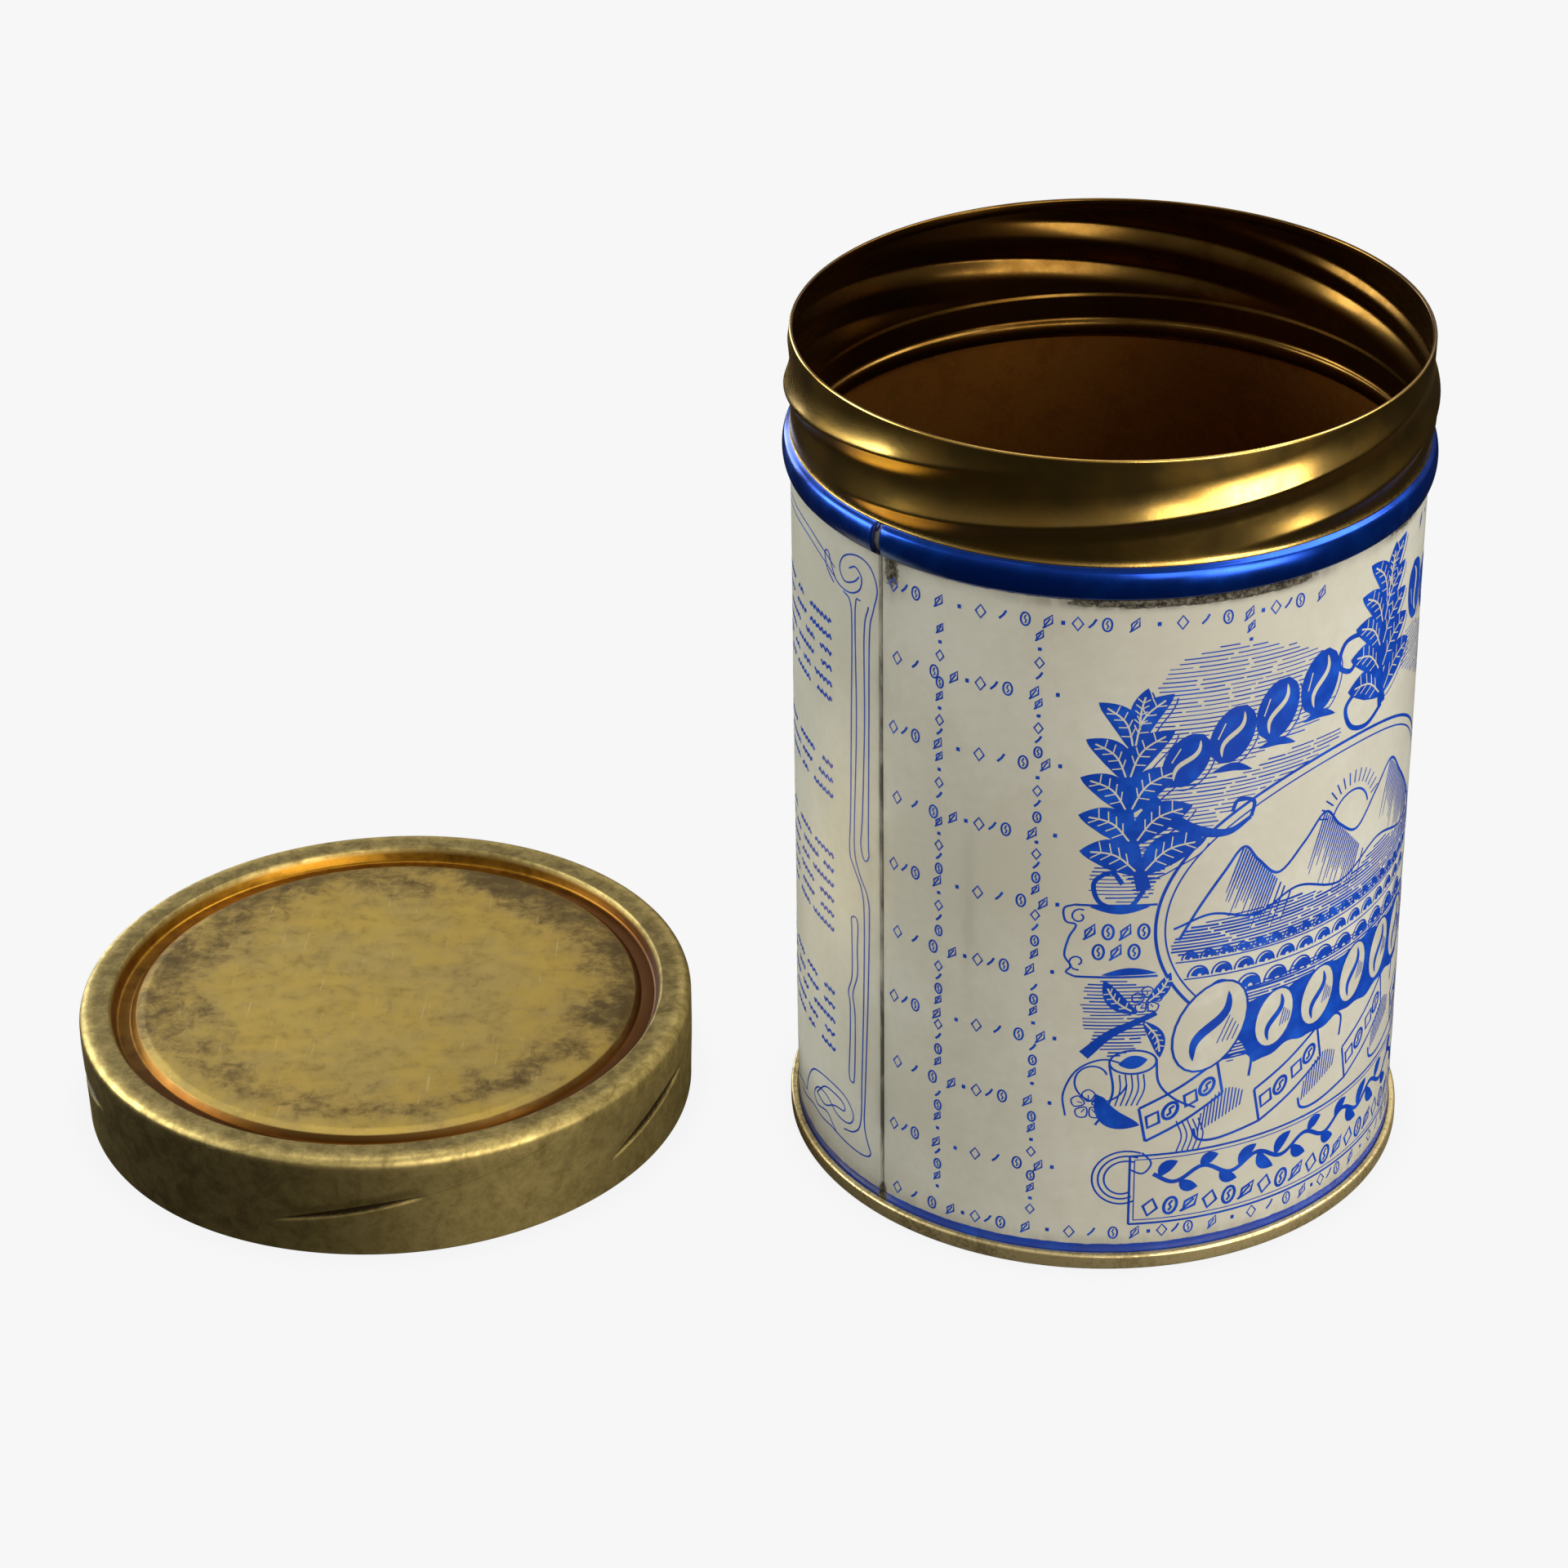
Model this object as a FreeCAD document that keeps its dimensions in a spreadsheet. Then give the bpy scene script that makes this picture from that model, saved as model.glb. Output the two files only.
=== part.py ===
"""Vintage screw-lid coffee tin: a rolled and printed can body with a double-seamed
bottom end and a threaded collar, and its pressed screw lid lying beside it.

Millimetres, +Z up. The origin is the centre of the tin's foot, on the surface it
stands on, and the lid lies on the same surface at -X.
"""
import FreeCAD, Part
import math
import os

import Sketcher

# ----------------------------------------------------------------- sizes
SIZES = {
    # sheet metal and fits
    "sheet": 0.28,              # tinplate of every pressing
    "fit_gap": 0.05,            # radial clearance between nested pieces of the tin
    # printed can body
    "body_radius": 52.5,        # outside of the printed wall
    "body_top": 132.4,          # top edge of the printed sheet, above the bead
    "bead_height": 6.0,         # stacking bead rolled into the wall's top
    "bead_rise": 1.35,          # how far the bead stands out of the wall
    # folded side seam
    "side_seam_angle": 226.3,   # degrees about +Z
    "side_seam_width": 4.2,
    "side_seam_fold": 0.84,     # three layers folded flat on the inside
    "side_seam_line": 0.36,     # width of the open line on the outside
    "side_seam_step": 0.14,     # depth of that line
    "solder_width": 3.0,
    "solder_thick": 0.22,
    # bottom end and its double seam
    "seam_height": 2.8,         # height of the double seam, and of the foot
    "seam_pitch": 0.47,         # radial distance between the seam's layers
    "seam_round": 0.55,         # outer corner radius of the seam
    "hook_depth": 1.6,          # how far the two hooks overlap downwards
    "end_recess": 3.2,          # underside of the bottom panel, above the foot
    "end_bead_margin": 14.2,    # expansion bead of the bottom panel, in from the wall
    "end_bead_width": 5.0,
    "end_bead_rise": 0.9,
    # threaded collar
    "collar_height": 18.0,      # rim of the open tin, above the printed sheet
    "neck_step": 0.1,           # the collar between its threads, in from the wall
    "sleeve_length": 7.8,       # part of the collar inside the can body
    "collar_lip": 0.42,         # extra thickness of the collar's folded lower edge
    "collar_lip_height": 2.2,
    "rim_fold": 0.4,            # extra thickness of the folded rim
    "rim_fold_height": 1.6,
    "thread_starts": 5,
    "thread_lead": 36.0,        # rise of one thread in a whole turn
    "thread_rise": 1.1,         # height of the thread above the neck
    "thread_width": 4.6,        # width of the thread's foot
    "thread_above": 1.2,        # lowest point of each thread, above the printed sheet
    "thread_below": 3.0,        # highest point of each thread, below the rim
    "thread_angle": 268.0,      # where one thread passes mid height, degrees
    # lid
    "lid_apart": 17.74,         # free space between the lid and the tin's foot
    "lid_height": 19.5,
    "lid_clearance": 0.42,      # between the threads and the inside of the skirt
    "skirt_flare": 0.45,        # the skirt is this much wider at its shoulder
    "lid_corner": 3.6,          # outside radius of the shoulder
    "flange_reach": 3.0,        # inner edge of the flat flange, in from the neck
    "groove_slope": 1.3,        # the groove's outer wall leans in by this much
    "groove_depth": 2.6,
    "groove_width": 2.4,        # floor of the groove
    "panel_slope": 1.3,         # the groove's inner wall leans in by this much
    "panel_drop": 0.9,          # panel below the flange
    # pressed lugs of the lid
    "lug_span": 28.0,           # degrees that one lug covers
    "lug_rise": 5.3,            # its climb over that span
    "lug_low": 6.3,             # its lower end above the skirt's edge
    "lug_reach": 0.95,          # how far it stands in from the skirt
    "lug_width": 2.0,
    "lug_slot": 0.9,            # width of the crease seen from outside
    "lug_angle": 270.0,
    # gasket under the lid's flange
    "gasket_thick": 1.0,
    "gasket_gap": 0.4,          # clearance between the gasket and the lid
    "gasket_lap": 0.1,          # gasket wider than the rim it presses on
}

doc = FreeCAD.newDocument("coffee_tin")
sheet_object = doc.addObject("Spreadsheet::Sheet", "sizes")
for row, (alias, number) in enumerate(SIZES.items(), start=1):
    sheet_object.set("A%d" % row, alias)
    sheet_object.set("B%d" % row, str(number))
    sheet_object.setAlias("B%d" % row, alias)
doc.recompute()


class Size:
    """A length with the spreadsheet formula that it comes from."""

    def __init__(self, value, formula):
        self.value = float(value)
        self.formula = formula

    @staticmethod
    def of(other):
        if isinstance(other, Size):
            return other
        return Size(other, repr(float(other)))

    def __add__(self, other):
        other = Size.of(other)
        return Size(self.value + other.value, "(%s + %s)" % (self.formula, other.formula))

    def __sub__(self, other):
        other = Size.of(other)
        return Size(self.value - other.value, "(%s - %s)" % (self.formula, other.formula))

    def __mul__(self, other):
        other = Size.of(other)
        return Size(self.value * other.value, "(%s * %s)" % (self.formula, other.formula))

    def __truediv__(self, other):
        other = Size.of(other)
        return Size(self.value / other.value, "(%s / %s)" % (self.formula, other.formula))

    def __neg__(self):
        return Size(-self.value, "(-%s)" % self.formula)


def root(size):
    return Size(math.sqrt(size.value), "sqrt(%s)" % size.formula)


def named(alias):
    return Size(getattr(sheet_object, alias), "sizes.%s" % alias)


ZERO = Size(0.0, "0")
sheet = named("sheet")
fit_gap = named("fit_gap")
body_radius = named("body_radius")
body_inner = body_radius - sheet
body_top = named("body_top")
neck_radius = body_radius - named("neck_step")
seam_height = named("seam_height")
collar_top = body_top + named("collar_height")


# ----------------------------------------------------------------- sketch helpers
class Corner:
    """A point of a profile. bend is the radius of the arc that follows it, if any,
    and outward says on which side of the chord that arc bulges."""

    def __init__(self, across, up, bend=None, outward=True):
        self.across = across
        self.up = up
        self.bend = bend
        self.outward = outward

    def vector(self):
        return FreeCAD.Vector(self.across.value, self.up.value, 0)


def arc_between(start, end, radius, outward):
    """The shorter arc from start to end. With outward it bulges to the right of the
    way from start to end."""
    chord = end - start
    middle = (start + end) * 0.5
    right = FreeCAD.Vector(chord.y, -chord.x, 0)
    right.normalize()
    if not outward:
        right = right * -1.0
    half = chord.Length / 2
    depth = math.sqrt(max(radius * radius - half * half, 0.0))
    top = middle + right * (radius - depth)
    return Part.Arc(start, top, end)


def origin_plane(body, role):
    for feature in body.Origin.OriginFeatures:
        if feature.Role == role:
            return feature
    raise ValueError("no origin plane " + role)


def pin_coordinate(sketch, axis_number, kind, geometry, position, size):
    """Fixes one coordinate of a point, on an axis where it is zero."""
    if abs(size.value) < 1e-9:
        sketch.addConstraint(Sketcher.Constraint("PointOnObject", geometry, position, axis_number))
        return
    rule = Sketcher.Constraint(kind, -1, 1, geometry, position, size.value)
    index = sketch.addConstraint(rule)
    sketch.setExpression("Constraints[%d]" % index, size.formula)


def closed_sketch(body, name, plane_role, corners):
    """A closed outline with every corner bound to the sizes."""
    sketch = body.newObject("Sketcher::SketchObject", name)
    sketch.AttachmentSupport = [(origin_plane(body, plane_role), "")]
    sketch.MapMode = "FlatFace"
    starts = []
    for corner, following in zip(corners, corners[1:] + corners[:1]):
        if corner.bend is None:
            curve = Part.LineSegment(corner.vector(), following.vector())
            geometry = sketch.addGeometry(curve)
            starts.append((geometry, 1, 2))
            continue
        curve = arc_between(corner.vector(), following.vector(), corner.bend.value, corner.outward)
        geometry = sketch.addGeometry(curve)
        first = sketch.getPoint(geometry, 1)
        forward = (first - corner.vector()).Length < 1e-6
        starts.append((geometry, 1, 2) if forward else (geometry, 2, 1))
        index = sketch.addConstraint(Sketcher.Constraint("Radius", geometry, corner.bend.value))
        sketch.setExpression("Constraints[%d]" % index, corner.bend.formula)
    for place, (geometry, begin, end) in enumerate(starts):
        following, following_begin, _ = starts[(place + 1) % len(starts)]
        joint = Sketcher.Constraint("Coincident", geometry, end, following, following_begin)
        sketch.addConstraint(joint)
        corner = corners[place]
        pin_coordinate(sketch, -2, "DistanceX", geometry, begin, corner.across)
        pin_coordinate(sketch, -1, "DistanceY", geometry, begin, corner.up)
    return sketch


def rectangle(low_across, high_across, low_up, high_up):
    return [
        Corner(low_across, low_up),
        Corner(high_across, low_up),
        Corner(high_across, high_up),
        Corner(low_across, high_up),
    ]


def new_body(label):
    body = doc.addObject("PartDesign::Body", label)
    body.Label = label
    return body


def revolve(body, name, corners):
    """A ring or a pan: the outline turned about the body's own +Z."""
    sketch = closed_sketch(body, name + "_profile", "XZ_Plane", corners)
    feature = body.newObject("PartDesign::Revolution", name)
    feature.Profile = sketch
    feature.ReferenceAxis = (sketch, ["V_Axis"])
    feature.Angle = 360
    return feature


def pad_or_pocket(body, kind, name, corners, low, length):
    """A straight bar along +Z, added (Pad) or cut (Pocket), from the height low."""
    sketch = closed_sketch(body, name + "_profile", "XY_Plane", corners)
    sketch.setExpression("AttachmentOffset.Base.z", low.formula)
    feature = body.newObject("PartDesign::" + kind, name)
    feature.Profile = sketch
    feature.Reversed = kind == "Pocket"
    feature.setExpression("Length", length.formula)
    return feature


def turn_about_z(thing, degrees, across=0.0):
    spin = FreeCAD.Rotation(FreeCAD.Vector(0, 0, 1), degrees)
    thing.Placement = FreeCAD.Placement(FreeCAD.Vector(across, 0, 0), spin)


# ----------------------------------------------------------------- can body
bead_rise = named("bead_rise")
bead_half = named("bead_height") / 2
bead_centre = body_top - bead_half
bead_bend = (bead_half * bead_half + bead_rise * bead_rise) / (bead_rise * 2)
bead_inner_bend = bead_bend - sheet
bead_inner_half = root(bead_inner_bend * bead_rise * 2 - bead_rise * bead_rise)
seam_pitch = named("seam_pitch")
hook_depth = named("hook_depth")

body_low = sheet + fit_gap * 2
body_hook_inner = body_inner + seam_pitch * 2
body_hook_outer = body_hook_inner + sheet
body_hook_top = body_low + hook_depth
side_seam_angle = named("side_seam_angle")
side_seam_width = named("side_seam_width")
side_seam_fold = named("side_seam_fold")
end_recess = named("end_recess")
end_panel_top = end_recess + sheet
collar_low = body_top - named("sleeve_length")

can_body = new_body("can_body")
revolve(can_body, "wall", [
    Corner(body_inner, body_low),
    Corner(body_hook_outer, body_low),
    Corner(body_hook_outer, body_hook_top),
    Corner(body_hook_inner, body_hook_top),
    Corner(body_hook_inner, body_low + sheet),
    Corner(body_radius, body_low + sheet),
    Corner(body_radius, bead_centre - bead_half, bend=bead_bend),
    Corner(body_radius, bead_centre + bead_half),
    Corner(body_inner, bead_centre + bead_half),
    Corner(body_inner, bead_centre + bead_inner_half, bend=bead_inner_bend, outward=False),
    Corner(body_inner, bead_centre - bead_inner_half),
])
fold_low = end_panel_top + fit_gap * 4
fold_high = collar_low - fit_gap * 4
pad_or_pocket(can_body, "Pad", "seam_fold", rectangle(
    body_inner - side_seam_fold, body_inner + sheet / 4,
    -side_seam_width / 2, side_seam_width / 2), fold_low, fold_high - fold_low)
line_half = named("side_seam_line") / 2
line_floor = body_radius - named("side_seam_step")
line_low = seam_height + fit_gap
pad_or_pocket(can_body, "Pocket", "seam_line", rectangle(
    line_floor, body_radius + bead_rise * 2, -line_half, line_half),
    line_low, body_top - line_low + sheet)
turn_about_z(can_body, side_seam_angle.value)

# ----------------------------------------------------------------- solder on the side seam
solder_width = named("solder_width")
solder_thick = named("solder_thick")
solder_outer = body_inner - side_seam_fold - fit_gap
side_seam_solder = new_body("side_seam_solder")
pad_or_pocket(side_seam_solder, "Pad", "solder", rectangle(
    solder_outer - solder_thick, solder_outer, -solder_width / 2, solder_width / 2),
    fold_low, fold_high - fold_low)
turn_about_z(side_seam_solder, side_seam_angle.value)

# ----------------------------------------------------------------- bottom end
chuck_outer = body_inner - fit_gap
chuck_inner = chuck_outer - sheet
cover_hook_inner = body_inner + seam_pitch
cover_hook_outer = cover_hook_inner + sheet
seam_outer = body_inner + seam_pitch * 3 + sheet
seam_inner = seam_outer - sheet
seam_round = named("seam_round")
seam_round_inner = seam_round - sheet
cover_hook_low = seam_height - hook_depth - fit_gap * 2
end_bead_radius = chuck_inner - named("end_bead_margin")
end_bead_half = named("end_bead_width") / 2
end_bead_rise = named("end_bead_rise")
end_bead_bend = (end_bead_half * end_bead_half + end_bead_rise * end_bead_rise) / (end_bead_rise * 2)

bottom_end = new_body("bottom_end")
revolve(bottom_end, "pressing", [
    Corner(ZERO, end_recess),
    Corner(end_bead_radius - end_bead_half, end_recess, bend=end_bead_bend, outward=False),
    Corner(end_bead_radius + end_bead_half, end_recess),
    Corner(chuck_inner, end_recess),
    Corner(chuck_inner, ZERO),
    Corner(seam_outer - seam_round, ZERO, bend=seam_round),
    Corner(seam_outer, seam_round),
    Corner(seam_outer, seam_height - seam_round, bend=seam_round),
    Corner(seam_outer - seam_round, seam_height),
    Corner(cover_hook_inner, seam_height),
    Corner(cover_hook_inner, cover_hook_low),
    Corner(cover_hook_outer, cover_hook_low),
    Corner(cover_hook_outer, seam_height - sheet),
    Corner(seam_outer - seam_round, seam_height - sheet, bend=seam_round_inner, outward=False),
    Corner(seam_inner, seam_height - seam_round),
    Corner(seam_inner, seam_round, bend=seam_round_inner, outward=False),
    Corner(seam_outer - seam_round, sheet),
    Corner(chuck_outer, sheet),
    Corner(chuck_outer, end_panel_top),
    Corner(end_bead_radius + end_bead_half, end_panel_top, bend=end_bead_bend),
    Corner(end_bead_radius - end_bead_half, end_panel_top),
    Corner(ZERO, end_panel_top),
])

# ----------------------------------------------------------------- seam compound
seal_low = body_hook_top + fit_gap
seal_high = seam_height - seam_round
bottom_seal = new_body("bottom_seal")
revolve(bottom_seal, "compound", rectangle(
    cover_hook_outer + fit_gap, seam_inner - fit_gap * 2, seal_low, seal_high))

neck_seal_bend = bead_inner_bend - fit_gap * 2
neck_seal_inner = body_inner + fit_gap
bead_axis = body_radius + bead_rise - bead_bend
neck_seal_half = root(neck_seal_bend * neck_seal_bend
                      - (neck_seal_inner - bead_axis) * (neck_seal_inner - bead_axis))
neck_seal = new_body("neck_seal")
revolve(neck_seal, "compound_ring", [
    Corner(neck_seal_inner, bead_centre - neck_seal_half, bend=neck_seal_bend),
    Corner(neck_seal_inner, bead_centre + neck_seal_half),
])

# ----------------------------------------------------------------- threaded collar
ANGLE_STEPS = 180
HEIGHT_STEPS = 86


def smooth_step(position):
    """0 below 0, 1 above 1, and a smooth curve between them."""
    position = min(max(position, 0.0), 1.0)
    return position * position * (3 - 2 * position)


def thread_height(angle, height):
    """How far the rolled threads push the collar out at one place."""
    starts = int(round(named("thread_starts").value))
    lead = named("thread_lead").value
    low = body_top.value + named("thread_above").value
    high = collar_top.value - named("thread_below").value
    middle = (low + high) / 2
    pitch = lead / starts
    half_width = named("thread_width").value / 2
    turned = (angle - named("thread_angle").value) / 360.0
    above = height - middle - turned * lead
    above -= pitch * round(above / pitch)
    if abs(above) >= half_width:
        return 0.0
    crest = math.cos(above / half_width * math.pi / 2) ** 2
    line = height - above
    fade_length = half_width * 1.4
    fade = smooth_step((line - low) / fade_length) * smooth_step((high - line) / fade_length)
    return named("thread_rise").value * crest * fade


def collar_outside(angle, height):
    sleeve = body_inner.value - fit_gap.value
    above_body = height - body_top.value - sheet.value
    shoulder = smooth_step(above_body / (2 * sheet.value))
    plain = sleeve + (neck_radius.value - sleeve) * shoulder
    return plain + thread_height(angle, height)


def collar_inside(angle, height):
    lip = named("collar_lip_height").value
    lip_part = 1 - smooth_step((height - collar_low.value - lip) / sheet.value)
    thick = sheet.value + named("collar_lip").value * lip_part
    return collar_outside(angle, height) - thick


def wavy_skin(radius_at, low, high):
    """A closed smooth surface about +Z whose radius follows radius_at(angle, height)."""
    step = 2 * math.pi / ANGLE_STEPS
    shrink = (2 + math.cos(step)) / 3
    poles = []
    for turn in range(ANGLE_STEPS):
        column = []
        for level in range(HEIGHT_STEPS + 1):
            height = low + (high - low) * level / HEIGHT_STEPS
            radius = radius_at(math.degrees(turn * step), height) / shrink
            across = radius * math.cos(turn * step)
            along = radius * math.sin(turn * step)
            column.append(FreeCAD.Vector(across, along, height))
        poles.append(column)
    spans = HEIGHT_STEPS + 1 - 3
    surface = Part.BSplineSurface()
    surface.buildFromPolesMultsKnots(
        poles, [1] * (ANGLE_STEPS + 1), [4] + [1] * (spans - 1) + [4],
        [float(knot) for knot in range(ANGLE_STEPS + 1)],
        [float(knot) for knot in range(spans + 1)],
        True, False, 3, 3)
    return surface


def flat_ring(outer_edge, inner_edge):
    wires = [Part.Wire([outer_edge]), Part.Wire([inner_edge])]
    return Part.makeFace(wires, "Part::FaceMakerBullseye")


def edge_at(face, height):
    for edge in face.Edges:
        box = edge.BoundBox
        if abs(box.ZMin - height) < 1e-6 and abs(box.ZMax - height) < 1e-6:
            return edge
    raise ValueError("no edge at that height")


def rim_fold():
    """The sheet folded back on itself inside the rim, half way into the collar's wall."""
    inner = neck_radius.value - sheet.value - named("rim_fold").value
    outer = neck_radius.value - sheet.value / 2
    tall = named("rim_fold_height").value
    foot = FreeCAD.Vector(0, 0, collar_top.value - tall)
    return Part.makeCylinder(outer, tall, foot).cut(Part.makeCylinder(inner, tall, foot))


def collar_solid():
    low = collar_low.value
    high = collar_top.value
    outside = wavy_skin(collar_outside, low, high).toShape()
    inside = wavy_skin(collar_inside, low, high).toShape()
    rings = [flat_ring(edge_at(outside, level), edge_at(inside, level)) for level in (low, high)]
    shell = Part.makeShell([outside, inside] + rings)
    shell.sewShape()
    solid = Part.makeSolid(shell)
    if solid.Volume < 0:
        solid.reverse()
    return solid.fuse(rim_fold())


neck_collar = doc.addObject("Part::Feature", "neck_collar")
neck_collar.Label = "neck_collar"
neck_collar.Shape = collar_solid()

# ----------------------------------------------------------------- lid
lid_height = named("lid_height")
lid_corner = named("lid_corner")
skirt_inner = neck_radius + named("thread_rise") + named("lid_clearance")
skirt_outer = skirt_inner + sheet
shoulder_outer = skirt_outer + named("skirt_flare")
shoulder_height = lid_height - lid_corner
lid_distance = seam_outer + named("lid_apart") + shoulder_outer
corner_inner_bend = lid_corner - sheet
flange_under = lid_height - sheet
groove_floor = lid_height - named("groove_depth")
panel_top = lid_height - named("panel_drop")
flange_radius = neck_radius - named("flange_reach")
groove_radius = flange_radius - named("groove_slope")
panel_foot_radius = groove_radius - named("groove_width")
panel_radius = panel_foot_radius - named("panel_slope")

lid_pressing = new_body("lid_pressing")
revolve(lid_pressing, "pan", [
    Corner(skirt_inner, ZERO),
    Corner(skirt_outer, ZERO),
    Corner(shoulder_outer, shoulder_height, bend=lid_corner),
    Corner(shoulder_outer - lid_corner, lid_height),
    Corner(flange_radius, lid_height),
    Corner(groove_radius, groove_floor),
    Corner(panel_foot_radius, groove_floor),
    Corner(panel_radius, panel_top),
    Corner(ZERO, panel_top),
    Corner(ZERO, panel_top - sheet),
    Corner(panel_radius - sheet / 2, panel_top - sheet),
    Corner(panel_foot_radius - sheet / 2, groove_floor - sheet),
    Corner(groove_radius + sheet, groove_floor - sheet),
    Corner(flange_radius + sheet, flange_under),
    Corner(shoulder_outer - lid_corner, flange_under, bend=corner_inner_bend, outward=False),
    Corner(shoulder_outer - sheet, shoulder_height),
])

# The lugs are inclined bars pressed inwards, each with a crease on its outer side.
lug_span = named("lug_span")
lug_rise = named("lug_rise")
lug_low = named("lug_low")
lug_reach = named("lug_reach")
lug_angle = named("lug_angle")
LUG_ROOM = Size.of(6)


def bound(thing, **formulas):
    for key, size in formulas.items():
        thing.setExpression(key, size.formula)
    return thing


def ring_band(name, inner, outer):
    """A tube of the lid's height, between two radii."""
    solid = doc.addObject("Part::Cylinder", name + "_solid")
    bound(solid, Radius=outer, Height=lid_height)
    hollow = doc.addObject("Part::Cylinder", name + "_hollow")
    bound(hollow, Radius=inner, Height=lid_height)
    band = doc.addObject("Part::Cut", name)
    band.Base = solid
    band.Tool = hollow
    return band


def slanted_bar(name, turn, width):
    """A bar along the tangent at one lug, climbing with the lug."""
    bar = doc.addObject("Part::Box", name)
    length = skirt_outer * (lug_span.value * math.pi / 180)
    bound(bar, Length=length, Width=LUG_ROOM, Height=width)
    climb = math.degrees(math.atan2(lug_rise.value, length.value))
    middle = lug_low.value + lug_rise.value / 2
    centred = FreeCAD.Placement(
        FreeCAD.Vector(-length.value / 2, -LUG_ROOM.value / 2, -width.value / 2),
        FreeCAD.Rotation())
    tilt = FreeCAD.Placement(
        FreeCAD.Vector(0, -skirt_inner.value, middle),
        FreeCAD.Rotation(FreeCAD.Vector(0, 1, 0), -climb))
    around = FreeCAD.Placement(
        FreeCAD.Vector(0, 0, 0), FreeCAD.Rotation(FreeCAD.Vector(0, 0, 1), turn))
    bar.Placement = around.multiply(tilt).multiply(centred)
    return bar


def lug_set(name, inner, outer, width):
    """All the lugs, or all their creases, as one shape."""
    band = ring_band(name + "_band", inner, outer)
    bars = doc.addObject("Part::MultiFuse", name + "_bars")
    starts = int(round(named("thread_starts").value))
    bars.Shapes = [
        slanted_bar("%s_bar_%d" % (name, number),
                    lug_angle.value - 270 + 360.0 * number / starts, width)
        for number in range(starts)
    ]
    lugs = doc.addObject("Part::Common", name)
    lugs.Base = band
    lugs.Tool = bars
    return lugs


lug_bars = lug_set("lugs", skirt_inner - lug_reach, skirt_inner + sheet, named("lug_width"))
creases = lug_set("creases", skirt_inner - lug_reach + sheet, shoulder_outer + LUG_ROOM,
                  named("lug_slot"))
lid_with_lugs = doc.addObject("Part::Fuse", "lid_with_lugs")
lid_with_lugs.Base = lid_pressing
lid_with_lugs.Tool = lug_bars
lid_shell = doc.addObject("Part::Cut", "lid_shell")
lid_shell.Label = "lid_shell"
lid_shell.Base = lid_with_lugs
lid_shell.Tool = creases
turn_about_z(lid_shell, 0, -lid_distance.value)

# ----------------------------------------------------------------- gasket of the lid
gasket_gap = named("gasket_gap")
gasket_outer = neck_radius + named("gasket_lap")
past_corner = gasket_outer - shoulder_outer + lid_corner
corner_above = root(corner_inner_bend * corner_inner_bend - past_corner * past_corner)
gasket_top = shoulder_height + corner_above - gasket_gap
gasket_low = gasket_top - named("gasket_thick")
lid_gasket = new_body("lid_gasket")
revolve(lid_gasket, "gasket_ring", rectangle(
    flange_radius + gasket_gap, gasket_outer, gasket_low, gasket_top))
turn_about_z(lid_gasket, 0, -lid_distance.value)

# ----------------------------------------------------------------- checks and files
doc.recompute()

SUB_PARTS = [can_body, side_seam_solder, neck_collar, neck_seal, bottom_end, bottom_seal,
             lid_shell, lid_gasket]

for thing in doc.Objects:
    if "Invalid" in thing.State or "Error" in thing.State:
        raise RuntimeError("failed object: %s %s" % (thing.Name, thing.State))
for part in SUB_PARTS:
    shape = part.Shape
    if shape.isNull() or not shape.isValid() or shape.Volume <= 0:
        raise RuntimeError("bad shape: " + part.Label)

os.makedirs("parts", exist_ok=True)
for part in SUB_PARTS:
    part.Shape.exportStep("parts/%s.step" % part.Label)
    box = part.Shape.BoundBox
    print("%-18s solids %d volume %9.1f z %.2f..%.2f" % (
        part.Label, len(part.Shape.Solids), part.Shape.Volume, box.ZMin, box.ZMax))
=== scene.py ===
"""The looks of the coffee tin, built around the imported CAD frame.

Blender works in metres. The helpers below take millimetres and turn them into metres
where a mesh is made. On the tin's wall, s is the distance along the print from the side
seam, positive to the right as seen from outside, and z is the height.
"""

import math

import bmesh
import bpy
import numpy as np
from mathutils import Matrix, Vector


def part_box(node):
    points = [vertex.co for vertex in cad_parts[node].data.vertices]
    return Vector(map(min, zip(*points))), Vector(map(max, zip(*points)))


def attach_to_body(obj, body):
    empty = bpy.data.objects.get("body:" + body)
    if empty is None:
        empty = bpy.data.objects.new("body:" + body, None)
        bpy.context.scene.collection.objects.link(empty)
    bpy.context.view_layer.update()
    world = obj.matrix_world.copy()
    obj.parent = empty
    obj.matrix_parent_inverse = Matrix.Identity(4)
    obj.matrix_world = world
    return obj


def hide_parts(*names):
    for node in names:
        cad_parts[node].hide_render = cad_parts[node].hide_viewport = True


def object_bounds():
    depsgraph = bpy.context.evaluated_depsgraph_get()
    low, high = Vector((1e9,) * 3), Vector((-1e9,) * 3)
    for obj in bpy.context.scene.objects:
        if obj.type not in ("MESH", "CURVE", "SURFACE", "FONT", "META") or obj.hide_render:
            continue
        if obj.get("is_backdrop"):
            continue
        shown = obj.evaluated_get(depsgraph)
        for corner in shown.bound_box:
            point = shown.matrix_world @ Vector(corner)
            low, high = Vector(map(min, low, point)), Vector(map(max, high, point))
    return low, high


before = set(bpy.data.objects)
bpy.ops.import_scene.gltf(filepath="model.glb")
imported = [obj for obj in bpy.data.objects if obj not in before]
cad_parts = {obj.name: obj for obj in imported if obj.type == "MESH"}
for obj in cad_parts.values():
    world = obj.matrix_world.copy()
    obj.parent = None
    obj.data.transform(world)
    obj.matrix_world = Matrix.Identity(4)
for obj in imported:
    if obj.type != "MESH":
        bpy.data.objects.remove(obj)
cad_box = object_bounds()

MM = 0.001


# ------------------------------------------------------------------ sizes
def box_mm(node):
    low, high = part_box(node)
    return np.array(low) / MM, np.array(high) / MM


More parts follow.
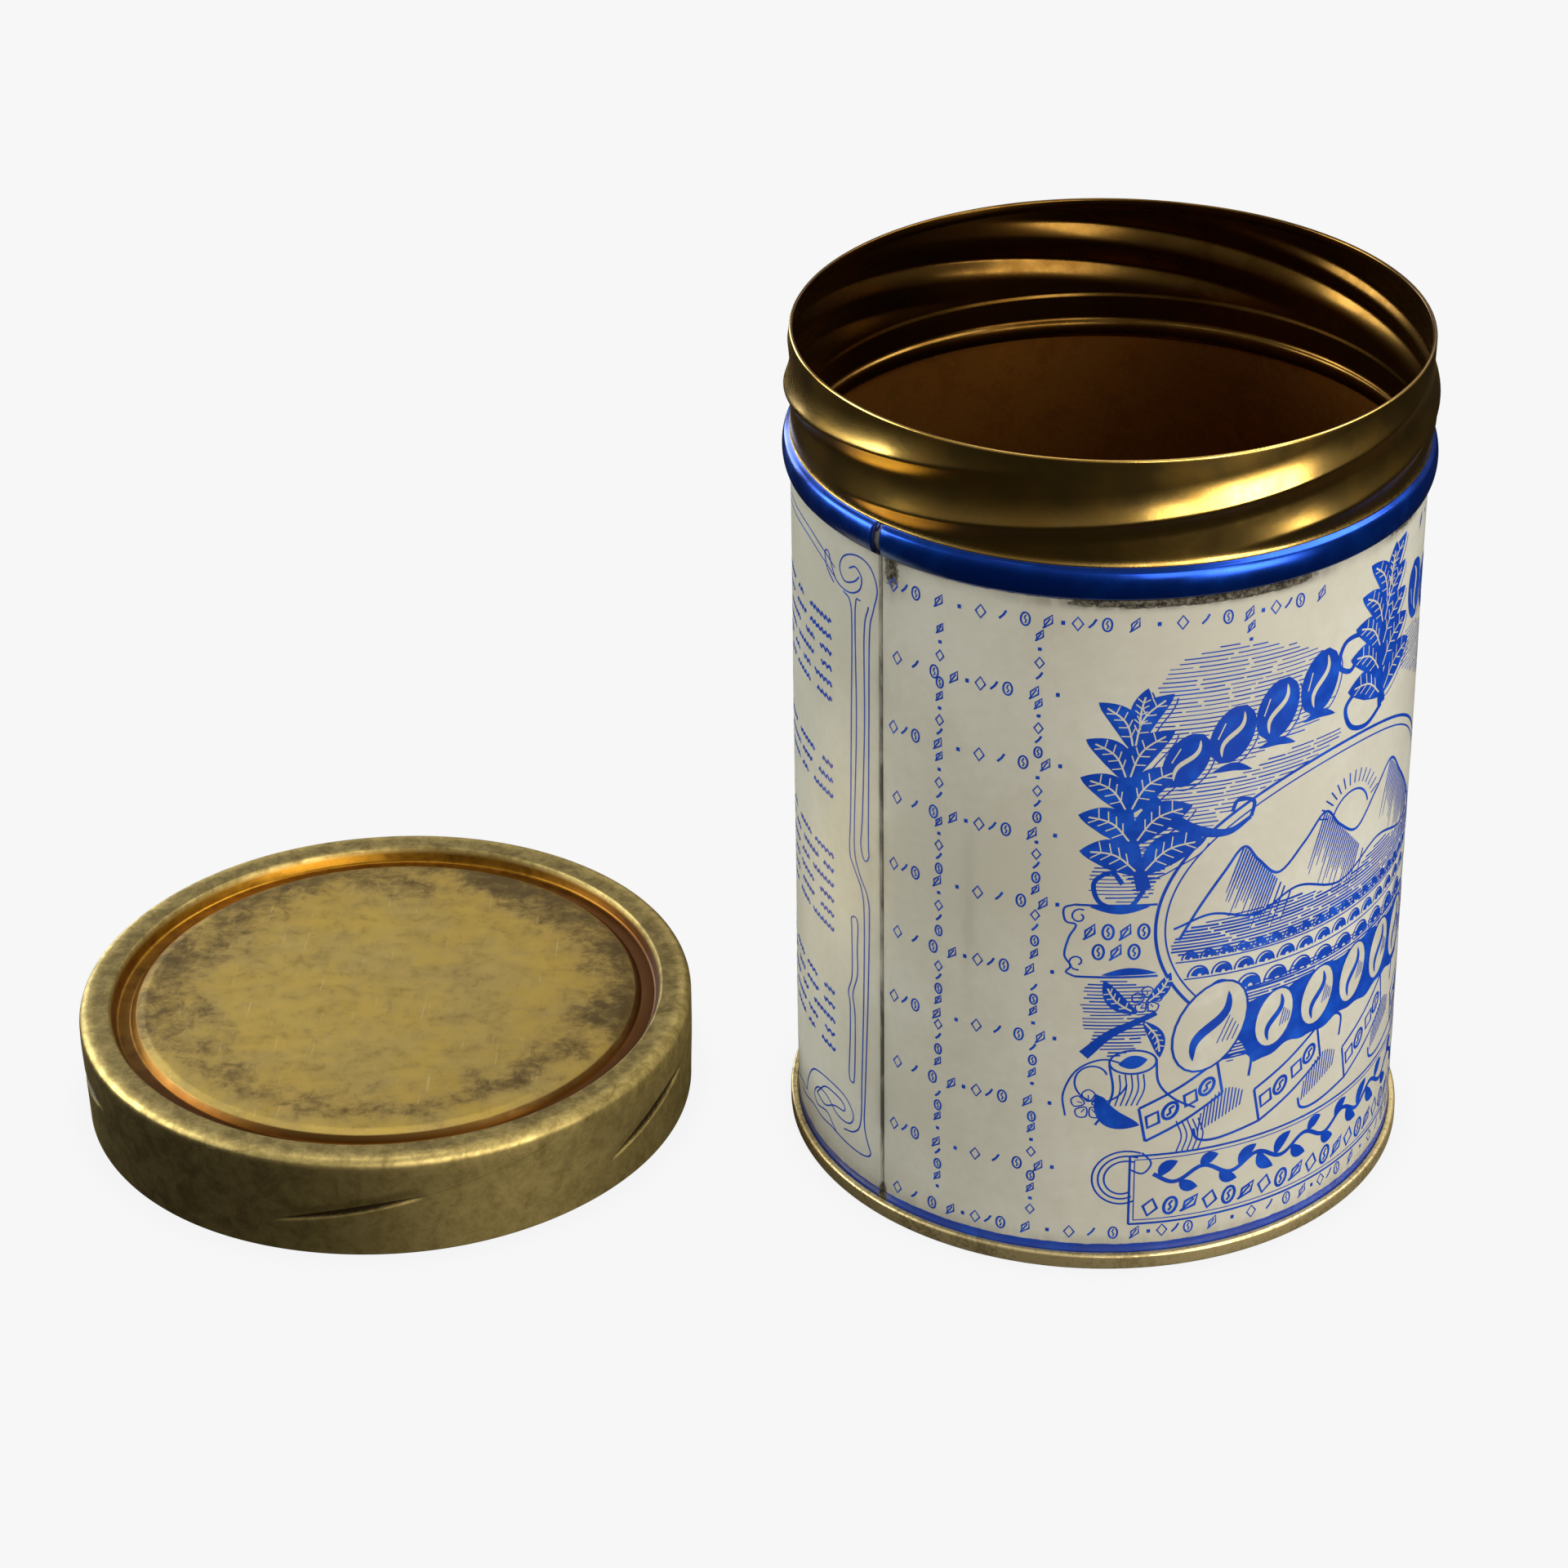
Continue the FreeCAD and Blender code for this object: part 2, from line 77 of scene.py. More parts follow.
SHEET = 0.28
WALL_RADIUS = 52.5
WALL_LOW, BODY_TOP = (corner[2] for corner in box_mm("can_body"))
BEAD_HALF = 3.0
BEAD_RISE = 1.35
BEAD_CENTRE = BODY_TOP - BEAD_HALF
BEAD_FOOT = BEAD_CENTRE - BEAD_HALF
SEAM_ANGLE = math.radians(226.3)
SEAM_FOLD = 0.84
SEAM_FOLD_HALF = 2.1
FOOT_HEIGHT = 2.8
COLLAR_LOW, RIM_TOP = (corner[2] for corner in box_mm("neck_collar"))
NECK_RADIUS = 52.4
SLEEVE_RADIUS = WALL_RADIUS - SHEET - 0.05
RIM_FOLD = 0.4
LID_LOW, LID_HIGH = box_mm("lid_shell")
LID_CENTRE = (LID_LOW + LID_HIGH) / 2
LID_HEIGHT = LID_HIGH[2]
SKIRT_FOOT = 54.2
SHOULDER_RADIUS = SKIRT_FOOT + 0.45
ROUND = 2 * math.pi * WALL_RADIUS


# ------------------------------------------------------------------ small maths
def smooth(position):
    """0 below 0, 1 above 1, and a smooth curve between them."""
    position = np.clip(position, 0.0, 1.0)
    return position * position * (3 - 2 * position)


def hump(position, centre, half):
    """1 at centre, 0 further than half away, smooth between."""
    return smooth(1 - np.abs(position - centre) / half)


def angle_gap(angle, centre):
    """Signed difference of two angles, between -pi and pi."""
    return (angle - centre + math.pi) % (2 * math.pi) - math.pi


def ripple(angle, height, seed, reach=40.0):
    """A soft random field round the tin, between about -1 and 1."""
    made = np.random.default_rng(seed)
    total = 0.0
    for _ in range(7):
        turns = int(made.integers(1, 9))
        rise = made.normal() / reach * 6.28
        total = total + np.sin(turns * angle + rise * height + made.uniform(0, 6.28))
    return total / 3.0


# ------------------------------------------------------------------ meshes of revolution
ARC_STEP = 0.22


def outline(corners, spacing=1.5):
    """A dense open line through (radius, height, fillet) corners, with true arcs."""
    points = []
    last = len(corners) - 1
    for place, (radius, height, bend) in enumerate(corners):
        here = np.array((radius, height))
        if bend == 0 or place in (0, last):
            points.append(here)
            continue
        before = np.array(corners[place - 1][:2]) - here
        after = np.array(corners[place + 1][:2]) - here
        room = 0.49 * min(np.linalg.norm(before), np.linalg.norm(after))
        before = before / np.linalg.norm(before)
        after = after / np.linalg.norm(after)
        half = math.acos(float(np.clip(before @ after, -1, 1))) / 2
        cut = min(bend / math.tan(half), room)
        start, end = here + before * cut, here + after * cut
        middle = before + after
        centre = here + middle / np.linalg.norm(middle) * cut / math.cos(half)
        sweep = math.pi - 2 * half
        for part in np.linspace(0, 1, max(3, math.ceil(sweep / ARC_STEP)) + 1):
            spoke = (math.sin((1 - part) * sweep) * (start - centre)
                     + math.sin(part * sweep) * (end - centre))
            points.append(centre + spoke / math.sin(sweep))
    dense = [points[0]]
    for begin, end in zip(points, points[1:]):
        pace = spacing((begin + end) / 2) if callable(spacing) else spacing
        steps = max(1, math.ceil(np.linalg.norm(end - begin) / pace))
        for part in range(1, steps + 1):
            dense.append(begin + (end - begin) * part / steps)
    return np.array(dense)


def turned_mesh(name, angles, radius, height, centre=(0.0, 0.0), closed=True, masks=None):
    """A mesh turned about +Z. radius and height are (turns, rows) in mm. A closed
    profile joins its last row to its first; an open one ends in two poles."""
    turns, rows = radius.shape
    across = centre[0] + radius * np.cos(angles)[:, None]
    along = centre[1] + radius * np.sin(angles)[:, None]
    points = np.stack([across, along, height], -1).reshape(-1, 3) * MM
    row_steps = rows if closed else rows - 1
    turn, row = np.meshgrid(np.arange(turns), np.arange(row_steps), indexing="ij")
    following = (turn + 1) % turns
    above = (row + 1) % rows
    quads = np.stack([turn * rows + row, following * rows + row,
                      following * rows + above, turn * rows + above], -1)
    if closed:
        faces = quads.reshape(-1, 4).tolist()
    else:
        merged = np.arange(turns * rows).reshape(turns, rows)
        merged[:, [0, -1]] = 0, rows - 1
        flat = merged.ravel()[quads]
        faces = flat[:, 1:-1].reshape(-1, 4).tolist()
        faces += flat[:, 0][:, [0, 2, 3]].tolist()
        faces += flat[:, -1][:, [0, 1, 2]].tolist()
    mesh = bpy.data.meshes.new(name)
    mesh.from_pydata(points.tolist(), [], faces)
    for label, values in (masks or {}).items():
        layer = mesh.attributes.new(label, "FLOAT", "POINT")
        spread = np.broadcast_to(values, (turns, rows))
        layer.data.foreach_set("value", spread.astype(np.float32).ravel())
    if not closed:
        drop_loose(mesh)
    mesh.shade_smooth()
    thing = bpy.data.objects.new(name, mesh)
    bpy.context.scene.collection.objects.link(thing)
    return thing


def drop_loose(mesh):
    """Removes the points that the two poles left unused."""
    work = bmesh.new()
    work.from_mesh(mesh)
    loose = [vert for vert in work.verts if not vert.link_faces]
    bmesh.ops.delete(work, geom=loose, context="VERTS")
    work.to_mesh(mesh)
    work.free()


def even_angles(count):
    return np.arange(count) * 2 * math.pi / count


def spun(profile, angles):
    """The radius and height of a (radius, height) profile at every turn."""
    shape = len(angles), len(profile)
    return np.broadcast_to(profile[:, 0], shape), np.broadcast_to(profile[:, 1], shape)


# ------------------------------------------------------------------ node materials
# colour sockets of a Mix node, counted among those of its other data types
COLOUR_A, COLOUR_B, COLOUR_RESULT = 6, 7, 2


class Field:
    """A value that varies over a Finish, and adds and multiplies like a number."""

    def __init__(self, finish, socket):
        self.finish, self.socket = finish, socket

    def combined(self, operation, other, swap=False):
        node = self.finish.nodes.new("ShaderNodeMath")
        node.operation = operation
        for socket, value in zip(node.inputs, (other, self) if swap else (self, other)):
            self.finish.wire(socket, value)
        return Field(self.finish, node.outputs[0])

    def __add__(self, other):
        return self.combined("ADD", other)

    def __mul__(self, other):
        return self.combined("MULTIPLY", other)

    def __rsub__(self, other):
        return self.combined("SUBTRACT", other, swap=True)

    def most(self, other):
        return self.combined("MAXIMUM", other)

    def step(self, low, high, start=0.0, end=1.0):
        """This value mapped smoothly from low..high to start..end, and held outside."""
        node = self.finish.nodes.new("ShaderNodeMapRange")
        node.interpolation_type = "SMOOTHSTEP"
        for name, number in (("From Min", low), ("From Max", high),
                             ("To Min", start), ("To Max", end)):
            node.inputs[name].default_value = number
        self.finish.wire(node.inputs["Value"], self)
        return Field(self.finish, node.outputs["Result"])


class Finish:
    """A node material. Textures read the object's own coordinates, in millimetres."""

    def __init__(self, name, **sockets):
        self.material = bpy.data.materials.new(name)
        self.material.use_nodes = True
        self.nodes = self.material.node_tree.nodes
        self.links = self.material.node_tree.links
        self.shader = self.nodes["Principled BSDF"]
        self.set(**sockets)
        place = self.nodes.new("ShaderNodeTexCoord")
        scaled = self.nodes.new("ShaderNodeVectorMath")
        scaled.operation = "SCALE"
        scaled.inputs["Scale"].default_value = 1 / MM
        self.links.new(place.outputs["Object"], scaled.inputs[0])
        self.millimetres = scaled.outputs[0]

    def wire(self, target, value):
        if isinstance(value, Field):
            self.links.new(value.socket, target)
        elif isinstance(value, tuple) and len(value) == 3 and target.type == "RGBA":
            target.default_value = (*value, 1.0)
        else:
            target.default_value = value

    def set(self, **sockets):
        """Sets the shader's sockets, named with _ for a space."""
        for key, value in sockets.items():
            self.wire(self.shader.inputs[key.replace("_", " ")], value)

    def noise(self, size, detail=4.0, roughness=0.55, distortion=0.0, stretch=None):
        """Noise whose features are about size millimetres across."""
        vector = self.millimetres
        if stretch:
            spread = self.nodes.new("ShaderNodeVectorMath")
            spread.operation = "DIVIDE"
            self.links.new(vector, spread.inputs[0])
            spread.inputs[1].default_value = stretch
            vector = spread.outputs[0]
        node = self.nodes.new("ShaderNodeTexNoise")
        for key, value in (("Scale", 1 / size), ("Detail", detail), ("Roughness", roughness),
                           ("Distortion", distortion)):
            node.inputs[key].default_value = value
        self.links.new(vector, node.inputs["Vector"])
        return Field(self, node.outputs["Fac"])

    def mask(self, name):
        node = self.nodes.new("ShaderNodeAttribute")
        node.attribute_name = name
        return Field(self, node.outputs["Fac"])

    def mix(self, amount, first, second):
        node = self.nodes.new("ShaderNodeMix")
        node.data_type = "RGBA"
        self.wire(node.inputs["Factor"], amount)
        self.wire(node.inputs[COLOUR_A], first)
        self.wire(node.inputs[COLOUR_B], second)
        return Field(self, node.outputs[COLOUR_RESULT])

    def bump(self, height, distance, strength=1.0):
        node = self.nodes.new("ShaderNodeBump")
        node.inputs["Strength"].default_value = strength
        node.inputs["Distance"].default_value = distance * MM
        self.wire(node.inputs["Height"], height)
        self.links.new(node.outputs["Normal"], self.shader.inputs["Normal"])


CREAM = (0.60, 0.565, 0.45)
CREAM_AGED = (0.52, 0.48, 0.365)
BLUE = (0.002, 0.045, 0.36)
BLUE_WORN = (0.004, 0.085, 0.54)
INK = (0.010, 0.085, 0.48)
INK_DEEP = (0.004, 0.045, 0.34)
GRIME = (0.030, 0.023, 0.014)
BARE_TIN = (0.21, 0.18, 0.125)
GOLD = (0.80, 0.495, 0.125)
GOLD_DEEP = (0.60, 0.33, 0.062)
PATINA = (0.11, 0.080, 0.033)
# the collar's inside: dark browns that stand partly for painted shade in the cavity
COLLAR_SHADED_BROWN = (0.165, 0.085, 0.017)
COLLAR_SHADED_DARK = (0.085, 0.038, 0.006)
LACQUER_WARM = (0.40, 0.155, 0.022)
LACQUER_BROWN = (0.34, 0.140, 0.021)
LACQUER_DARK = (0.20, 0.072, 0.010)
COAT = 0.18
COAT_ROUGHNESS = 0.20


def tinplate_finish():
    """The wall: mottled cream with blue edges, dirt at the seams, chips down to the tin."""
    finish = Finish("printed_tinplate", Coat_Roughness=COAT_ROUGHNESS)
    level = finish.mask("up") + finish.noise(2.5, 3) * 0.5
    on_bead = level.step(BEAD_FOOT + 0.25, BEAD_FOOT + 0.5)
    at_foot = level.step(4.75, 4.55)
    blue = finish.mix(finish.noise(6, 5).step(0.45, 0.8), BLUE, BLUE_WORN)
    yellowed = (finish.noise(38, 3) + finish.noise(2.2, 5, 0.6) * 0.35).step(0.45, 0.85)
    paint = finish.mix(on_bead.most(at_foot), finish.mix(yellowed, CREAM, CREAM_AGED), blue)

    fine, wide = finish.noise(0.9, 6, 0.7), finish.noise(4.5, 4, 0.6)
    smear = finish.noise(3.0, 5, 0.65, 0.4, stretch=(1, 1, 4))
    grime = finish.mask("grime") * smear.step(0.30, 0.62, 0.35, 1.0)
    worn = (finish.mask("wear") + (fine * 0.55 + wide * 0.45)).step(0.97, 1.05)
    bare = finish.mix(fine.step(0.40, 0.62), GRIME, BARE_TIN)
    finish.set(Base_Color=finish.mix(worn, finish.mix(grime * 0.9, paint, GRIME), bare),
               Metallic=(worn * 0.7).most(on_bead * 0.88),
               Roughness=(finish.noise(7, 5).step(0.3, 0.8, 0.34, 0.46) + on_bead * -0.14
                          + grime * 0.3),
               Coat_Weight=on_bead.step(0, 1, COAT, 0.20))
    finish.bump(worn * fine * -1.4 + wide * 0.05, 0.22, 0.8)
    return finish.material


def ink_finish(name, light, dark):
    """Printing ink under the same lacquer, thinner here and there."""
    finish = Finish(name, Coat_Weight=COAT, Coat_Roughness=COAT_ROUGHNESS)
    finish.set(Base_Color=finish.mix(finish.noise(5, 5, 0.6).step(0.42, 0.75), dark, light),
               Roughness=finish.noise(7, 5).step(0.3, 0.8, 0.30, 0.44))
    return finish.material


def interior_finish():
    """The lacquered inside of the wall and bottom: dark red brown, faintly mottled."""
    finish = Finish("interior_lacquer", Metallic=1.0)
    stain = finish.noise(5, 7, 0.7, 0.3).step(0.35, 0.70)
    brown = finish.mix(finish.noise(22, 4).step(0.35, 0.7), LACQUER_BROWN, LACQUER_WARM)
    finish.set(Base_Color=finish.mix(stain, LACQUER_DARK, brown),
               Roughness=stain.step(0, 1, 0.60, 0.48))
    finish.bump(finish.noise(1.1, 6, 0.6), 0.06, 0.3)
    return finish.material


def gold_finish():
    """Gold lacquer of the rolled collar; on the inside a dark brown, partly lacquer and partly
    painted shade of the cavity.
    """
    finish = Finish("gold_lacquer", Metallic=1.0)
    haze, fine = finish.noise(9, 6, 0.6), finish.noise(0.7, 5, 0.65)
    inside = finish.mask("inside")
    dull = finish.mask("dull") * fine.step(0.3, 0.6)
    gold = finish.mix((haze + fine * 0.25).step(0.45, 0.85), GOLD, GOLD_DEEP)
    # inside the collar the gold turns to dark brown, partly painted shade of the cavity
    brown = finish.mix(haze.step(0.35, 0.7), COLLAR_SHADED_BROWN, COLLAR_SHADED_DARK)
    finish.set(Base_Color=finish.mix(inside, finish.mix(dull, gold, PATINA), brown),
               Roughness=haze.step(0.3, 0.75, 0.19, 0.27) + dull * 0.3 + inside * 0.03)
    finish.bump(fine + haze * 1.5, 0.022, 0.28)
    return finish.material


def aged_gold_finish():
    """The lid: rubbed panel with dark patches and a lighter painted-highlight band at its front
    edge, warm groove with painted light at the back and painted shade at the front, mottled flange
    and skirt, painted shade on the left side and dark painted shade along the lug creases.
    """
    finish = Finish("aged_gold")
    panel, groove = finish.mask("panel"), finish.mask("groove")
    fine, middle = finish.noise(0.9, 6, 0.7), finish.noise(3.4, 7, 0.72, 0.4)
    wide = finish.noise(15, 6, 0.66, 0.4)
    streak = finish.noise(2.4, 5, 0.7, 0.3, stretch=(5, 1, 1))
    hair = finish.noise(0.5, 4, 0.6, 0.2, stretch=(1, 22, 1))

    blotch = wide * 0.50 + middle * 0.50 + finish.mask("edge") * 0.26
    patch = (blotch + streak * 0.10).step(0.66, 0.90)
    on_panel = finish.mix(wide.step(0.30, 0.70), (0.56, 0.38, 0.078), (0.51, 0.37, 0.112))
    for amount, colour in (
            (streak.step(0.52, 0.74, 0.0, 0.35), (0.36, 0.25, 0.075)),
            (blotch.step(0.42, 0.84) * 0.60, (0.30, 0.195, 0.070)),
            ((fine * 0.5 + middle * 0.5).step(0.50, 0.66) * 0.32, (0.24, 0.150, 0.040)),
            (hair.step(0.62, 0.74, 0.0, 0.30), (0.80, 0.66, 0.36)),
            (patch * 0.85, (0.085, 0.052, 0.018))):
        on_panel = finish.mix(amount, on_panel, colour)

    speckle = (fine * 0.25 + middle * 0.75).step(0.34, 0.70)
    on_rim = finish.mix(speckle, (0.28, 0.200, 0.060), (0.68, 0.51, 0.175))
    # painted shade: the skirt's left side is darkened where less light falls; the flange is
    # darkened too
    left_shade_and_dark_flange = finish.mask("left_shade_and_dark_flange") * middle.step(0.30, 0.62, 1.0, 0.75)
    on_rim = finish.mix(left_shade_and_dark_flange, on_rim, (0.075, 0.050, 0.016))
    # painted light and shade in the groove: lit orange towards the back, dark brown towards the
    # front and right
    groove_lit_colour = finish.mix(middle.step(0.35, 0.7), (0.33, 0.150, 0.012), (0.20, 0.083, 0.006))
    in_groove = finish.mix(finish.mask("groove_painted_light"), (0.115, 0.040, 0.005), groove_lit_colour)
    colour = finish.mix(groove, finish.mix(panel, on_rim, on_panel), in_groove)
    # painted shade: the slit mask turns each lug crease nearly black
    finish.set(Base_Color=finish.mix(finish.mask("slit"), colour, (0.030, 0.017, 0.006)),
               Metallic=(1.0 - panel.most(groove)).step(0, 1, 1.0, 0.93),
               Roughness=(speckle.step(0, 1, 0.54, 0.46) + panel * patch * 0.10
                          + groove * -0.15))
    finish.bump(middle * 0.9 + fine * 0.15 + panel * streak * 0.4, 0.05, 0.35)
    return finish.material


def foot_finish():
    """The double seam at the foot: dull gold with dirt in it."""
    finish = Finish("dull_gold")
    fine = finish.noise(0.8, 6, 0.7)
    spots = (fine * 0.6 + finish.noise(7, 4) * 0.4).step(0.46, 0.60)
    finish.set(Base_Color=finish.mix(spots * 0.7, (0.80, 0.61, 0.27), (0.24, 0.17, 0.065)),
               Roughness=spots.step(0, 1, 0.36, 0.52), Metallic=spots.step(0, 1, 0.80, 0.9))
    finish.bump(fine, 0.03, 0.35)
    return finish.material


def plain_finish(name, light, dark, size, roughness, metallic=0.0, relief=0.1):
    """Board, compound or solder: one substance with its own mottling and grain."""
    finish = Finish(name, Metallic=metallic)
    grain = finish.noise(size, 6, 0.65)
    finish.set(Base_Color=finish.mix(grain.step(0.35, 0.7), light, dark),
               Roughness=grain.step(0.3, 0.7, roughness, roughness + 0.15))
    finish.bump(grain, relief, 0.5)
    return finish.material


def attach(piece, body, node, slot, *materials):
    for material in materials:
        piece.data.materials.append(material)
    if node:
        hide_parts(node)
    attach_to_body(piece, body)


# ------------------------------------------------------------------ camera
LENS = 100.368
CAMERA_PLACE = Vector((-0.0142, -0.6546, 0.4396))
CAMERA_TURN = math.radians(3.52)
CAMERA_TILT = math.radians(29.885)
CAMERA_ROLL = -0.01533


def make_camera():
    data = bpy.data.cameras.new("camera")
    data.lens = LENS
    data.sensor_width = 36.0
    camera = bpy.data.objects.new("camera", data)
    bpy.context.scene.collection.objects.link(camera)
    forward = Vector((-math.sin(CAMERA_TURN) * math.cos(CAMERA_TILT),
                      math.cos(CAMERA_TURN) * math.cos(CAMERA_TILT), -math.sin(CAMERA_TILT)))
    right = Vector((math.cos(CAMERA_TURN), math.sin(CAMERA_TURN), 0))
    up = right.cross(forward)
    rolled_right = right * math.cos(CAMERA_ROLL) + up * math.sin(CAMERA_ROLL)
    rolled_up = up * math.cos(CAMERA_ROLL) - right * math.sin(CAMERA_ROLL)
    turn = Matrix((rolled_right, rolled_up, -forward)).transposed().to_4x4()
    camera.matrix_world = Matrix.Translation(CAMERA_PLACE) @ turn
    bpy.context.scene.camera = camera


# ------------------------------------------------------------------ floor, world and lights
PALE = 0.93
FLOOR_SIZE = 8
AIM = Vector((-0.05, 0, 0.07))


def make_floor():
    bpy.ops.mesh.primitive_grid_add(size=FLOOR_SIZE, x_subdivisions=8, y_subdivisions=8)
    floor = bpy.context.object
    floor.name = "floor"
    material = bpy.data.materials.new("floor")
    material.use_nodes = True
    nodes, links = material.node_tree.nodes, material.node_tree.links
    nodes.clear()
    # painted contact shadow: ambient occlusion darkens the glowing floor by up to 7 % close to the
    # tin
    near = nodes.new("ShaderNodeAmbientOcclusion")
    near.inputs["Distance"].default_value = 0.006
    near.samples = 8
    shade = nodes.new("ShaderNodeMapRange")
    shade.inputs["To Min"].default_value = 0.93 * PALE
    shade.inputs["To Max"].default_value = PALE
    glow = nodes.new("ShaderNodeEmission")
    out = nodes.new("ShaderNodeOutputMaterial")
    links.new(near.outputs["AO"], shade.inputs["Value"])
    links.new(shade.outputs["Result"], glow.inputs["Color"])
    links.new(glow.outputs[0], out.inputs["Surface"])
    floor.data.materials.append(material)
    floor.visible_diffuse = False
    floor.visible_glossy = False
    floor.visible_transmission = False
    floor.visible_shadow = False
    floor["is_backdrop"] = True


def make_world():
    """Pale where the camera sees it, and a dim studio for the reflections."""
    world = bpy.data.worlds.new("studio")
    bpy.context.scene.world = world
    world.use_nodes = True
    nodes, links = world.node_tree.nodes, world.node_tree.links
    nodes.clear()
    path = nodes.new("ShaderNodeLightPath")
    place = nodes.new("ShaderNodeTexCoord")
    split = nodes.new("ShaderNodeSeparateXYZ")
    ramp = nodes.new("ShaderNodeValToRGB")
    ramp.color_ramp.elements[0].position = 0.45
    ramp.color_ramp.elements[0].color = (0.012, 0.011, 0.010, 1)
    ramp.color_ramp.elements[1].position = 0.80
    ramp.color_ramp.elements[1].color = (0.26, 0.26, 0.27, 1)
    rise = nodes.new("ShaderNodeMapRange")
    rise.inputs["From Min"].default_value = -1.0
    dim = nodes.new("ShaderNodeBackground")
    pale = nodes.new("ShaderNodeBackground")
    pale.inputs["Color"].default_value = (PALE, PALE, PALE, 1)
    chosen = nodes.new("ShaderNodeMixShader")
    out = nodes.new("ShaderNodeOutputWorld")
    links.new(place.outputs["Generated"], split.inputs[0])
    links.new(split.outputs["Z"], rise.inputs["Value"])
    links.new(rise.outputs["Result"], ramp.inputs["Fac"])
    links.new(ramp.outputs["Color"], dim.inputs["Color"])
    links.new(path.outputs["Is Camera Ray"], chosen.inputs["Fac"])
    links.new(dim.outputs[0], chosen.inputs[1])
    links.new(pale.outputs[0], chosen.inputs[2])
    links.new(chosen.outputs[0], out.inputs["Surface"])


def softbox(name, azimuth, elevation, distance, width, height, power, colour=(1, 1, 1)):
    """An area light on a sphere round the object. Azimuth 270 is the front, 180 the left."""
    data = bpy.data.lights.new(name, "AREA")
    data.shape = "RECTANGLE"
    data.size = width
    data.size_y = height
    data.energy = power
    data.color = colour
    lamp = bpy.data.objects.new(name, data)
    bpy.context.scene.collection.objects.link(lamp)
    around, up = math.radians(azimuth), math.radians(elevation)
    way = Vector((math.cos(around) * math.cos(up), math.sin(around) * math.cos(up), math.sin(up)))
    lamp.location = AIM + way * distance
    lamp.rotation_mode = "QUATERNION"
    lamp.rotation_quaternion = way.to_track_quat("Z", "Y")
    lamp.visible_camera = False


def make_lights():
    softbox("key_left", 172, 22, 1.3, 0.8, 0.8, 19, (0.88, 0.95, 1.0))
    softbox("back_left", 128, 8, 1.5, 0.6, 0.8, 7, (0.85, 0.93, 1.0))
    softbox("fill_front_right", 300, 22, 1.5, 0.9, 0.9, 12.5)
    softbox("high_right", 8, 50, 1.5, 1.0, 0.8, 19, (0.90, 0.94, 1.0))
    softbox("top", 100, 80, 1.5, 0.9, 0.6, 4.0)
    softbox("back", 78, 34, 1.9, 1.1, 0.5, 2.2)
    softbox("low_right", 318, 4, 1.6, 0.8, 0.5, 11)


# ------------------------------------------------------------------ can wall
LAP_REACH = 2.6
LINE_HALF = 0.44
LINE_DEPTH = 0.14
LINE_DEPTH_ON_BEAD = 0.62


def bead_bulge(height):
    """The rolled stacking bead: a round bulge with soft flanks."""
    across = np.clip(np.abs(height - BEAD_CENTRE) / BEAD_HALF, 0, 1)
    return BEAD_RISE * np.sqrt(np.clip(1 - across ** 2, 0, 1)) * smooth((1 - across) * 4.0)


def wall_sway(angle, height):
    """The rolled wall's slight unevenness, which fades out at its stiff ends."""
    ease = smooth((height - 6) / 20) * smooth((122 - height) / 20)
    return 0.06 * ripple(angle, height, 5, 90.0) * ease


def lap_above(s):
    """How far the side seam's upper layer stands proud, left of its line."""
    return 0.13 * (s < 0) * smooth(1 + s / LAP_REACH)


def wall_angles():
    """Even turns, with closer ones at the side seam."""
    near = np.array([0, .12, .2, .3, .42, .6, .85, 1.2, 1.6, 2.0, 2.2, 2.5, 3.1, 4.0, 5.2])
    close = np.concatenate([-near[:0:-1], near]) / WALL_RADIUS
    far = np.linspace(close[-1], 2 * math.pi - close[-1], 402)[1:-1]
    return SEAM_ANGLE + np.concatenate([close, far])


